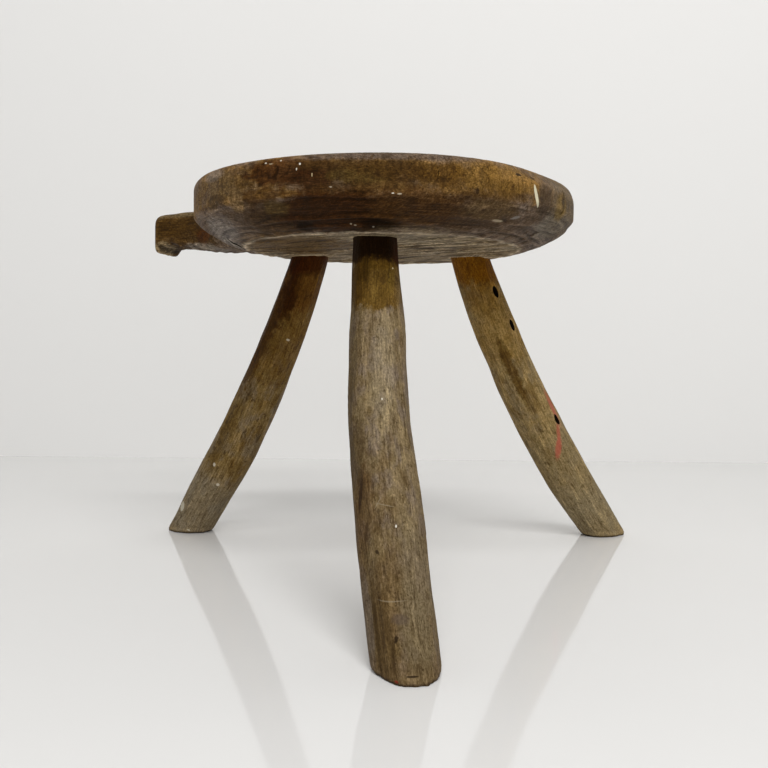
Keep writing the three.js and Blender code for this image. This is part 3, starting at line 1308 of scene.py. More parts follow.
        # Subdividing draws a round cage of a few sides in by this share.
        shrink = (2 + math.cos(2 * math.pi / self.sides)) / 3
        leg = self._pole(
            (-self.foot_spare, self.tip_share + self.tip_spare),
            steps=self.stations,
            sides=self.sides,
            width=lambda share: self.diameter(share) / shrink,
        )
        apply_modifier(leg, "SUBSURF", levels=3, render_levels=3)
        carve(leg, self._shave)
        place(leg, self.frame)
        with editing(leg):
            for height, waste in ((0.0, "clear_inner"), (self.tip_height, "clear_outer")):
                bpy.ops.mesh.select_all(action="SELECT")
                plane = {"plane_co": (0, 0, height * MM), "plane_no": (0, 0, 1)}
                bpy.ops.mesh.bisect(**plane, use_fill=True, threshold=1e-7, **{waste: True})
        carve(leg, self._wear_foot)
        cut(leg, [self._kerf(), *self._bores(), *self._checks()])
        self._keep_grain(leg)
        self._keep_bores(leg)
        keep_relief(leg, "relief", rounds=12, full=0.3)
        finish_piece(leg, f"shaved_leg_{self.post.value}")
        self.piece = leg
        return leg

    def _shave(self, point: Vector, _normal: Vector) -> Vector:
        """Leaves the drawknife's facets and the branch's own swellings.

        Args:
            point: a point in the leg's own axes.
            _normal: not used.

        Returns:
            The moved point.
        """
        share = self.share_at(point.z)
        centre = self.middle(share)
        arm = Vector((point.x - centre.x, point.y - centre.y, 0))
        radius = arm.length
        if radius < 0.5:
            return point
        turn = math.atan2(arm.y, arm.x)
        # The knife's facets wander round the branch, and are keener in some places than in others.
        wander = 0.5 * swell(point.z / 70, self.seed, 0.3)
        cell = (turn + wander) / (2 * math.pi) * self.facets
        jitter = 0.22 * swell(round(cell) * 3.7, self.seed, point.z / 60)
        from_middle = (cell - round(cell) + jitter) * 2 * math.pi / self.facets
        half = math.pi / self.facets
        facet = math.cos(half) / math.cos(max(-half, min(half, from_middle)))
        keen = 0.35 + 0.55 * (0.5 + 0.5 * swell(point.z / 38, turn * 1.3, self.seed + 5))
        grow = 1.012 + (facet - 1) * keen
        # Then come the branch's own lumps, small ones all over and the named ones.
        extra = 0.55 * swell(math.cos(turn) * 0.9, math.sin(turn) * 0.9, point.z / 34 + self.seed * 9)
        extra += 0.14 * swell(arm.x / 5, arm.y / 5, point.z / 14 + self.seed)
        for lump in self.lumps:
            gap = wrapped(math.radians(lump.turn) - turn) * radius
            rise = (share - lump.share) * self.length
            extra += lump.height * math.exp(-(gap * gap + rise * rise * 0.5) / (lump.reach * lump.reach))
        shank = 1 - smoothstep(share, 0.97, 1.03)
        new_radius = radius * (1 + (grow - 1) * shank) + extra * shank
        arm *= new_radius / radius
        for flat in self.flats:
            # A planed flat runs out towards its two ends.
            fade = smoothstep(share, flat.low - 0.05, flat.low + 0.02)
            fade *= 1 - smoothstep(share, flat.high - 0.08, flat.high + 0.02)
            towards = polar(1.0, flat.turn)
            over = arm.dot(towards) - (self.diameter(share) / 2 - flat.depth)
            if over > 0:
                arm -= towards * over * fade * 0.92
        return centre + arm + Vector((0, 0, point.z - centre.z))

    def _wear_foot(self, point: Vector, _normal: Vector) -> Vector:
        """Rounds and chips the foot's edge.

        Args:
            point: a point in the row frame.
            _normal: not used.

        Returns:
            The moved point.
        """
        band = self.foot_round * 1.25
        arm = Vector((point.x - self.foot.x, point.y - self.foot.y, 0))
        if point.z > band or arm.length <= 0.1:
            return point
        depth = self.foot_round * (0.75 + 0.55 * max(-0.6, swell(point.x / 4, point.y / 4, self.seed)))
        share = 1 - point.z / band
        inset = depth * (1 - math.sqrt(max(0.0, 1 - share * share)))
        return point - arm.normalized() * inset * smoothstep(arm.length, 8, 15)

    def _kerf(self) -> bpy.types.Object:
        """Makes the solid of the kerf that takes this leg's wedge, from a copy of the wedge's node.

        Returns:
            The solid, a clearance larger than the wedge.
        """
        node = bpy.data.objects[f"wedge_{self.post.value}"]
        kerf = bpy.data.objects.new("kerf", node.data.copy())
        bpy.context.collection.objects.link(kerf)
        with editing(kerf):
            bpy.ops.mesh.remove_doubles(threshold=0.02 * MM)
            bpy.ops.transform.shrink_fatten(value=self.clearance * MM)
        return kerf

    def _bores(self) -> list[bpy.types.Object]:
        """Makes the solids of the oval holes that beetles have bored into this leg, and keeps their places.

        Returns:
            The solids in place.
        """
        solids = []
        azimuth = math.atan2(self.foot.y - self.seat.centre.y, self.foot.x - self.seat.centre.x)
        for bore in self.bores:
            share = 1 - bore.down
            along = (self.turn @ (self.middle(share - 0.01) - self.middle(share + 0.01))).normalized()
            centre = self.turn @ self.middle(share) + self.foot
            outwards = Vector((math.cos(azimuth), math.sin(azimuth), 0))
            outwards = (outwards - along * outwards.dot(along)).normalized()
            outwards = Matrix.Rotation(math.radians(-bore.turn), 3, along) @ outwards
            axes = Matrix((outwards.cross(along), along, outwards)).transposed().to_4x4()
            size = Matrix.Diagonal((self.bore_width * MM, self.bore_length * MM, 2 * self.bore_depth * MM, 1))
            surface = centre + outwards * self.diameter(share) / 2
            oval = Matrix.Translation(surface * MM) @ axes @ size
            leave_selection()
            bpy.ops.mesh.primitive_cylinder_add(vertices=40, radius=0.5, depth=1)
            solid = bpy.context.object
            place(solid, oval)
            face_outwards(solid)
            self.ovals.append(oval)
            solids.append(solid)
        return solids

    def _checks(self) -> list[bpy.types.Object]:
        """Makes the lenses of the drying cracks in the foot's edge.

        Returns:
            The lenses in place.
        """
        checks = []
        for step, size in enumerate(self.check_lengths):
            azimuth = self.seed * 97 + step * 141
            edge = self.foot + polar(self.diameter(0) / 2, azimuth, 1.0)
            checks.append(put_lens(edge, Vector((0, 0, 1)), polar(1, azimuth + 90), Vector((size, 0.7, 8))))
        return checks

    def _keep_grain(self, leg: bpy.types.Object) -> None:
        """Writes each point's place along and across the branch, so that the fibres follow its bend.

        Args:
            leg: the finished leg.
        """
        back = self.frame.inverted()
        grain = leg.data.attributes.new("grain", "FLOAT_VECTOR", "POINT")
        for vertex, value in zip(leg.data.vertices, grain.data):
            point = back @ vertex.co / MM
            centre = self.middle(self.share_at(point.z))
            value.vector = Vector((point.x - centre.x, point.y - centre.y, point.z)) * MM

    def _keep_bores(self, leg: bpy.types.Object) -> None:
        """Marks the faces inside the beetle holes.

        Args:
            leg: the finished leg.
        """
        marks = leg.data.attributes.new("bored", "BOOLEAN", "FACE")
        for oval in self.ovals:
            back = oval.inverted()
            for face, mark in zip(leg.data.polygons, marks.data):
                inside = back @ face.center
                if math.hypot(inside.x, inside.y) < 0.503 and abs(inside.z) < 0.51:
                    mark.value = True

    def dress(self, finish: WoodFinish) -> None:
        """Gives the leg its wood, and the walls of its beetle holes their painted shade.

        Args:
            finish: the leg's finish.
        """
        paint = Paint(finish, Grain.ALONG_Z)
        paint.grain = paint.add("ShaderNodeAttribute", attribute_name="grain").outputs["Vector"]
        paint.lay_tones()
        paint.stain_or_painted_light(finish.patches, fray=6.0)
        paint.wear("relief", hollow=0.62, crest=1.3)
        grime = paint.lay_fibres()
        paint.stain_or_painted_light(finish.marks, fray=1.1)
        mesh = self.piece.data
        mesh.materials.clear()
        mesh.materials.append(paint.close(grime, polish=0.1))
        # The walls inside the beetle holes are painted near black: painted shade of the deep holes.
        if self.bores:
            walls = Paint(BORE_SHADE_FINISH, Grain.ALONG_Z)
            walls.coat(BORE_SHADE_FINISH.pale, 0.6, walls.pattern((1.5, 1.5, 1.5), 0.4, 0.6, 3.0))
            mesh.materials.append(walls.close())
            for face, mark in zip(mesh.polygons, mesh.attributes["bored"].data):
                face.material_index = int(mark.value)


def dress_wedge(node: bpy.types.Object, finish: WoodFinish) -> None:
    """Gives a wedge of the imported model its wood, which shows its end grain.

    Args:
        node: the wedge's node.
        finish: the wedge's finish.
    """
    paint = Paint(finish, Grain.ALONG_Z)
    paint.lay_tones()
    paint.lay_fibres()
    material = paint.close()
    if node.material_slots:
        for slot in node.material_slots:
            slot.material = material
    else:
        node.data.materials.append(material)


# The finishes

# An old hewn plank of birch or alder, handled and stained dark brown, dried grey where the knife cut it.
SEAT_WOOD = WoodFinish(
    name="hewn_plank_birch_old",
    base="#5f4727",
    pale="#765a35",
    grey="#5c4f43",
    dark="#3f2b15",
    grime="#1b1109",
    ring_spacing=1.7,
    fibre_length=13.0,
    fibre_width=0.8,
    blotch=24.0,
    grime_amount=0.5,
    roughness=0.66,
    tone="#645037",
    calm=0.1,
    patches=(
        # The grip's dark side, its greyed lower edge and its worn end; the seat's painted shadow on the
        # grip's root, in dark red-brown; and a painted highlight along the grip's rounded top edge.
        StainOrPaintedLight((-176, 146, 270), (62, 62, 26), "#3c2a11", 0.88, 0.4),
        StainOrPaintedLight((-170, 122, 254), (34, 20, 6.0), "#6c6153", 0.9, 0.5),
        StainOrPaintedLight((-207, 152, 257), (9, 18, 7), "#7d6b4d", 0.8, 0.6, 0.5),
        # Painted shadow of the seat on the grip's root.
        StainOrPaintedLight((-164, 112, 266), (9, 10, 7), "#4c2a10", 0.75, 0.7),
        # Painted highlight along the grip's rounded top edge.
        StainOrPaintedLight((-180, 145, 288), (50, 50, 5), "#5c4f38", 0.6, 0.7),
        # The dark stained front of the bevel and of the rim's lower edge.
        StainOrPaintedLight((-126, 8, 256), (14, 36, 9), "#73695f", 0.8, 0.7, 0.6),
        StainOrPaintedLight((-126, 40, 253), (10, 26, 6), "#776d62", 0.7, 0.8, 0.6),
        StainOrPaintedLight((106, -8, 259), (16, 26, 8), "#70685b", 0.75, 0.8, 0.6),
        StainOrPaintedLight((38, -68, 259), (40, 32, 12), "#39291a", 0.8, 0.7, 0.6),
        StainOrPaintedLight((56, -62, 262), (22, 20, 6), "#51402a", 0.8, 0.7, 0.7),
        StainOrPaintedLight((-88, -46, 256), (26, 30, 11), "#392919", 0.85, 0.8, 0.6),
        StainOrPaintedLight((-42, -70, 258), (42, 40, 14), "#2c1807", 0.95, 0.5, 0.45),
        StainOrPaintedLight((6, -73, 261), (30, 34, 12), "#3e2a16", 0.88, 0.6, 0.5),
        StainOrPaintedLight((-93, -65, 269), (20, 16, 4.5), "#37240f", 0.8, 0.5, 0.5),
        StainOrPaintedLight((-83, -63, 261.5), (9, 12, 4.5), "#4d3d22", 0.7, 0.7, 0.6),
        # The decayed stretch of the rim, near black and red-brown, and the black spots beside it.
        StainOrPaintedLight((-80, -73, 283), (28, 24, 9.0), "#3a220f", 0.9, 0.5, 0.7),
        StainOrPaintedLight((-56, -82, 280), (15, 16, 12), "#2d190b", 0.9, 0.5, 0.5),
        StainOrPaintedLight((-64, -50, 251), (7, 10, 3.4), "#100804", 0.85, 0.6),
        StainOrPaintedLight((-14, -62, 251.5), (13, 9, 4.5), "#120a05", 0.9, 0.6),
        # The rim's cleaner wood.
        StainOrPaintedLight((-27, -88, 278.4), (21, 12, 6.0), "#45361b", 0.88, 0.45, 0.4),
        StainOrPaintedLight((0, -88, 280), (16, 10, 7), "#3b2913", 0.8, 0.7),
        StainOrPaintedLight((-42, -86, 286), (34, 14, 4.5), "#3d2c17", 0.7, 0.7, 0.6),
        StainOrPaintedLight((-36, -86, 271), (30, 14, 3.4), "#2f2010", 0.65, 0.8, 0.6),
        StainOrPaintedLight((-8, -88, 284), (24, 12, 6), "#412e15", 0.7, 0.8, 0.6),
        StainOrPaintedLight((64, -70, 280), (42, 36, 9), "#6d5026", 0.85, 0.6),
        StainOrPaintedLight((26, -84, 279), (14, 14, 9), "#4f3716", 0.8, 0.8, 0.6),
        StainOrPaintedLight((66, -66, 270), (34, 22, 3.0), "#3b2a14", 0.65, 0.9, 0.7),
        StainOrPaintedLight((-76, 24, 247.5), (46, 56, 6), "#4f3a1e", 0.85, 0.7, 0.6),
        StainOrPaintedLight((4, -24, 247.5), (34, 34, 6), "#87785e", 0.5, 0.9, 0.6),
        StainOrPaintedLight((-8, -88, 291.6), (74, 20, 3.6), "#4a3f35", 0.85, 0.7),
        StainOrPaintedLight((-122, -38, 279), (16, 22, 8), "#6e5736", 0.65, 0.7, 0.6),
        StainOrPaintedLight((-128, -30, 288), (10, 18, 4), "#6b6054", 0.6, 0.7),
        StainOrPaintedLight((-128, -33, 270.5), (12, 14, 4.4), "#382b1c", 0.8, 0.5, 0.8),
        StainOrPaintedLight((-110, -50, 268), (6.5, 9, 10), "#665033", 0.85, 0.45, 0.4),
        StainOrPaintedLight((118, -6, 272), (24, 44, 26), "#524736", 0.75, 0.8),
        StainOrPaintedLight((111.5, -18, 271), (7, 12, 9), "#6d562c", 0.7, 0.6, 0.3),
        StainOrPaintedLight((113.2, -15, 275), (1.6, 5, 8), "#2e2110", 0.8, 0.5, 0.3),
        StainOrPaintedLight((96, -38, 273), (7.5, 12, 14), "#41362a", 0.85, 0.7),
    ),
    marks=(
        # A drying crack in the bevel with a pale lip, splashes and specks of lime and paint, and small nicks.
        StainOrPaintedLight((-127.4, 38.0, 250.6), (17, 1.2, 3.0), "#a39786", 0.55, 0.6, 0.5, 6, 77.2),
        StainOrPaintedLight((-124.9, 38.5, 249.8), (16.5, 1.9, 4.4), "#120b06", 0.95, 0.3, 0.3, 6, 77.2),
        StainOrPaintedLight((89.2, -47.2, 273.4), (1.2, 8, 7.8), "#d3cbae", 1.0, 0.2, 0.25, -14),
        StainOrPaintedLight((-88.6, -68, 289.6), (0.9, 3, 0.6), "#cfc6b4", 0.9, 0.5, 0.8),
        StainOrPaintedLight((-85.0, -70, 288.6), (1.4, 3, 0.5), "#a8977a", 0.8, 0.6, 0.9),
        StainOrPaintedLight((-78.1, -73, 290), (0.6, 3, 0.5), "#cfc6b4", 0.9, 0.5, 0.8),
        StainOrPaintedLight((-65.4, -79, 286.7), (0.6, 3, 0.7), "#e2dccf", 0.95, 0.4, 0.7),
        StainOrPaintedLight((-67.6, -78, 283.6), (0.4, 3, 0.8), "#d6cebd", 0.9, 0.4, 0.7),
        StainOrPaintedLight((-57.5, -82, 279.4), (0.35, 3, 1.2), "#c0ad85", 0.8, 0.5, 0.7),
        StainOrPaintedLight((-45.4, -85, 271.4), (0.9, 3, 0.5), "#b0a28c", 0.7, 0.5, 0.9),
        StainOrPaintedLight((-6.6, -88, 267.3), (0.8, 4, 0.35), "#e6e0d0", 0.95, 0.4, 0.8),
        StainOrPaintedLight((-2.6, -88, 267.0), (1.4, 4, 0.4), "#cdbfa4", 0.85, 0.5, 0.9),
        StainOrPaintedLight((-33.6, -61, 251.9), (0.7, 4, 0.4), "#b3a48c", 0.8, 0.5, 0.9),
        StainOrPaintedLight((-30.8, -61, 251.2), (0.9, 4, 0.35), "#b3a48c", 0.7, 0.5, 0.9),
        StainOrPaintedLight((-19, -61, 250.4), (0.7, 4, 0.35), "#a39a8c", 0.7, 0.5, 0.9),
        StainOrPaintedLight((62.2, -51, 256.2), (4.6, 5, 0.7), "#a8997f", 0.75, 0.6, 0.4),
        StainOrPaintedLight((75.3, -47, 258.9), (3.4, 5, 0.7), "#8d877f", 0.6, 0.7, 0.5, -14),
        StainOrPaintedLight((75.5, -57, 285.5), (2.4, 5, 1.0), "#1d1309", 0.9, 0.5, 0.8),
        StainOrPaintedLight((85.7, -46, 285), (2.2, 5, 1.0), "#24190e", 0.8, 0.6, 0.8, 20),
        StainOrPaintedLight((47, -77, 271), (1.1, 5, 2.2), "#24170b", 0.8, 0.6, 0.5),
    ),
)

# Shaved and sun-dried branches of the same wood: golden brown where they are clean, grey where they are worn.
FRONT_LEG_WOOD = WoodFinish(
    name="shaved_branch_birch_grey",
    base="#705f45",
    pale="#877451",
    grey="#6d6054",
    dark="#503f28",
    grime="#281c11",
    ring_spacing=1.6,
    fibre_length=9.0,
    fibre_width=0.8,
    blotch=16.0,
    grime_amount=0.35,
    roughness=0.7,
    tone="#6f5d44",
    calm=0.9,
    patches=(
        StainOrPaintedLight((-12, -92, 160), (7, 34, 46), "#938468", 0.4, 1.0, 0.6),
        StainOrPaintedLight((-8, -172, 38), (9, 26, 30), "#6d5737", 0.5, 0.8),
        StainOrPaintedLight((-32, -84, 160), (6, 40, 70), "#4d3f2a", 0.6, 0.9, 0.5, 3),
        # Painted shadow of the seat's front edge on the leg's top: near black with an arched lower edge, over
        # a dark red-brown stain from the joint, with its red-brown right end.
        StainOrPaintedLight((-15, -42, 251), (34, 60, 27), "#190d06", 0.97, 0.12, 0.1),
        StainOrPaintedLight((4, -44, 240), (9, 24, 19), "#47200c", 0.7, 0.8),
        # Painted half shadow below it, where the seat's edge hides one lamp: a darker golden band with its
        # streaks.
        StainOrPaintedLight((-17, -52, 213.5), (22, 44, 18.5), "#5b441c", 0.92, 0.3, 0.4),
        StainOrPaintedLight((-33, -58, 214), (9, 40, 18), "#3b2a10", 0.75, 0.8, 0.6),
        StainOrPaintedLight((0, -56, 214), (5, 30, 16), "#66543a", 0.6, 0.9, 0.6),
        StainOrPaintedLight((-24, -52, 222), (2.6, 30, 11), "#36270e", 0.6, 0.9, 0.8),
        StainOrPaintedLight((-12, -52, 206), (2.2, 30, 9), "#403012", 0.55, 0.9, 0.8),
        StainOrPaintedLight((-7, -52, 218), (2.4, 30, 10), "#6f5829", 0.5, 0.9, 0.8),
        StainOrPaintedLight((-18, -52, 209), (2.0, 30, 8), "#6b542a", 0.45, 0.9, 0.8),
        # The next two: painted shade on the foot's left planed face, and painted light on its right one.
        StainOrPaintedLight((-8.5, -178, 16), (6.5, 30, 27), "#46361f", 0.75, 0.5, 0.5, -9),
        StainOrPaintedLight((7, -180, 20), (8, 30, 27), "#786d53", 0.55, 0.7, 0.5, -9),
        StainOrPaintedLight((-27, -116, 98), (6, 40, 36), "#3d3020", 0.65, 0.9, 0.6, -4),
        StainOrPaintedLight((-21.5, -168, 26), (5.2, 40, 34), "#71675b", 0.75, 0.25, 0.3, -9),
        # Painted light on the foot's right planed face, higher up.
        StainOrPaintedLight((8, -160, 48), (9, 30, 30), "#80745a", 0.5, 0.9, 0.5, -9),
        StainOrPaintedLight((-23, -138, 72), (6, 30, 34), "#4b3520", 0.55, 0.8, 0.6, 4),
        StainOrPaintedLight((0, -176, 22), (60, 80, 62), "#57462f", 0.5, 1.2, 0.5),
        StainOrPaintedLight((2.4, -186, 0), (60, 60, 9), "#4f3f2a", 0.5, 0.9),
        StainOrPaintedLight((-18, 0, 294), (30, 30, 8), "#54401f", 0.8, 0.6),
    ),
    marks=(
        StainOrPaintedLight((-14.6, -176, 24), (0.9, 30, 27), "#33240f", 0.65, 0.8, 0.5, -9),
        StainOrPaintedLight((-5, -183, 10), (1.0, 20, 9), "#2c1d0d", 0.6, 0.9, 0.9, -5),
        StainOrPaintedLight((-24.2, -128.8, 85.6), (1.0, 10, 11), "#2a1c10", 0.85, 0.6, 0.5, 4),
        StainOrPaintedLight((-20.5, -140, 66), (0.9, 10, 7), "#382817", 0.7, 0.6, 0.5, 4),
        StainOrPaintedLight((-14, -152, 58), (1.4, 8, 1.0), "#22160c", 0.8, 0.5, 0.5, 40),
        StainOrPaintedLight((-3.7, -186.5, 19.5), (1.0, 8, 1.7), "#1c120a", 0.85, 0.7, 0.8, 14),
        StainOrPaintedLight((-1.6, -180.4, 28.1), (4.5, 8, 2.4), "#52453e", 0.5, 0.9, 0.7),
        StainOrPaintedLight((-3.5, -198.4, 1.9), (1.0, 4, 0.7), "#7d2f22", 0.85, 0.5, 0.5),
        StainOrPaintedLight((4.3, -198.8, 4.7), (3.2, 5, 0.45), "#1f140b", 0.85, 0.5, 0.4),
        StainOrPaintedLight((-12.3, -100.7, 140.1), (0.55, 4, 0.6), "#d5cdbb", 0.9, 0.5, 0.6),
        StainOrPaintedLight((-3.7, -147.9, 71.4), (0.5, 4, 0.7), "#e2dccf", 0.9, 0.5, 0.6),
        StainOrPaintedLight((-6, -43, 225), (0.5, 4, 0.6), "#cbb98f", 0.9, 0.5, 0.6),
        StainOrPaintedLight((-10, -140.4, 81.9), (5, 8, 0.25), "#9a8d76", 0.45, 0.8, 0.8, 8),
        StainOrPaintedLight((-14, -139, 83), (0.25, 8, 4), "#9a8d76", 0.4, 0.8, 0.8, 30),
        StainOrPaintedLight((-7, -174.2, 35.9), (8, 8, 0.3), "#9a8d76", 0.45, 0.8, 0.8, -4),
        StainOrPaintedLight((2.4, -178.6, 0), (60, 60, 1.6), "#2a1d12", 0.7, 0.9),
    ),
)

LEFT_LEG_WOOD = WoodFinish(
    name="shaved_branch_birch_brown",
    base="#6f5833",
    pale="#8a724a",
    grey="#706350",
    dark="#4d3614",
    grime="#22150b",
    ring_spacing=1.6,
    fibre_length=9.0,
    fibre_width=0.85,
    blotch=18.0,
    grime_amount=0.45,
    roughness=0.68,
    tone="#6f5d44",
    calm=0.9,
    patches=(
        StainOrPaintedLight((-180, 158, 25), (40, 40, 40), "#7a6f5a", 0.6, 0.9),
        StainOrPaintedLight((-106, 108, 190), (50, 50, 48), "#6f5125", 0.66, 0.9, 0.6),
        StainOrPaintedLight((-86, 100, 226), (40, 40, 26), "#573716", 0.8, 0.9, 0.6),
        StainOrPaintedLight((-88, 100, 222), (8, 24, 34), "#2d1405", 0.85, 0.7, 0.9, 24),
        StainOrPaintedLight((-70, 99, 240), (10, 40, 30), "#6a4a20", 0.6, 0.8, 0.5, 20),
        StainOrPaintedLight((-84, 99, 245), (30, 40, 12), "#331605", 0.9, 0.6, 0.6),
        StainOrPaintedLight((-118, 116, 174), (7, 24, 58), "#3c2306", 0.8, 0.8, 0.8, 27),
        StainOrPaintedLight((-150, 135, 95), (6, 24, 40), "#453419", 0.5, 0.8, 0.8, 27),
        StainOrPaintedLight((-62, 104, 294), (30, 30, 8), "#4c3a20", 0.8, 0.6),
    ),
    marks=(
        StainOrPaintedLight((-93, 109.8, 177.8), (1.5, 5, 0.9), "#c8bda4", 0.95, 0.5, 0.5, 12),
        StainOrPaintedLight((-161.4, 141.6, 66.8), (1.2, 5, 1.7), "#c2b8a4", 0.95, 0.5, 0.5),
        StainOrPaintedLight((-158.9, 144.8, 48.4), (1.4, 5, 1.3), "#c2b8a4", 0.95, 0.5, 0.5),
        StainOrPaintedLight((-195.2, 164, 25.0), (2.2, 12, 4.4), "#b8b09c", 0.95, 0.3, 0.4, 14),
        StainOrPaintedLight((-188.6, 161.8, 3.7), (1.5, 5, 0.9), "#c8bda4", 0.9, 0.5, 0.6, 25),
        StainOrPaintedLight((-192.3, 182.4, 0), (60, 60, 1.8), "#2a1d12", 0.7, 0.9),
    ),
)

RIGHT_LEG_WOOD = WoodFinish(
    name="shaved_branch_birch_golden",
    base="#836b42",
    pale="#9c8558",
    grey="#7a6a4f",
    dark="#5d421c",
    grime="#2c1c0e",
    ring_spacing=1.7,
    fibre_length=9.0,
    fibre_width=0.85,
    blotch=18.0,
    grime_amount=0.35,
    roughness=0.68,
    tone="#6f5d44",
    calm=0.9,
    patches=(
        StainOrPaintedLight((64, 100, 240), (50, 50, 15), "#74480a", 0.92, 0.9, 0.6),
        StainOrPaintedLight((72, 100, 214), (16, 30, 14), "#785219", 0.6, 0.9, 0.6),
        StainOrPaintedLight((86, 107, 188), (24, 30, 30), "#91713c", 0.65, 0.9, 0.6),
        StainOrPaintedLight((99, 112, 152), (4.5, 14, 34), "#452f11", 0.8, 0.8, 0.9, -27),
        StainOrPaintedLight((116, 118, 128), (7, 14, 14), "#513a1b", 0.5, 0.9, 0.8, -27),
        StainOrPaintedLight((158, 146, 62), (40, 40, 44), "#7b6b4c", 0.55, 0.9),
        StainOrPaintedLight((184, 160, 22), (40, 40, 30), "#7a6d53", 0.6, 0.9),
        StainOrPaintedLight((46, 104, 294), (30, 30, 8), "#5a4424", 0.8, 0.6),
    ),
    marks=(
        StainOrPaintedLight((136.8, 132, 121), (1.9, 14, 15), "#ab5544", 0.7, 0.9, 0.8, -27),
        StainOrPaintedLight((142.4, 134, 99), (1.8, 14, 9), "#ab5544", 0.65, 0.9, 0.8, -6),
        StainOrPaintedLight((142.8, 134, 85), (2.7, 14, 9.5), "#ab5544", 0.75, 0.7, 0.7, 2),
        StainOrPaintedLight((194.3, 180.7, 0), (60, 60, 1.8), "#2a1d12", 0.7, 0.9),
    ),
)

# Wood that beetle larvae have bored through: the walls of the holes are painted near black, as painted shade
# of the deep holes.
BORE_SHADE_FINISH = WoodFinish(
    name="bored_birch_painted_shade",
    base="#0b0704",
    pale="#140d08",
    grey="#0f0b08",
    dark="#060402",
    grime="#040302",
    ring_spacing=1.6,
    fibre_length=4.0,
    fibre_width=0.5,
    blotch=4.0,
    grime_amount=0.5,
    roughness=0.95,
    tone="#0f0b08",
)

# Split hardwood wedges, worn level with the seat: the end grain gives short dark dots.
WEDGE_WOOD = WoodFinish(
    name="split_wedge_oak",
    base="#6b4d29",
    pale="#80603a",
    grey="#5f4f3c",
    dark="#452e15",
    grime="#2a1b0f",
    ring_spacing=1.2,
    fibre_length=5.0,
    fibre_width=0.6,
    blotch=8.0,
    grime_amount=0.4,
    roughness=0.64,
    tone="#6b4d29",
)


# The studio


@dataclass(frozen=True)
class Lamp:
    """A long soft lamp: its name, its place and its power in watts."""

    name: str
    place: tuple[float, float, float]
    power: float


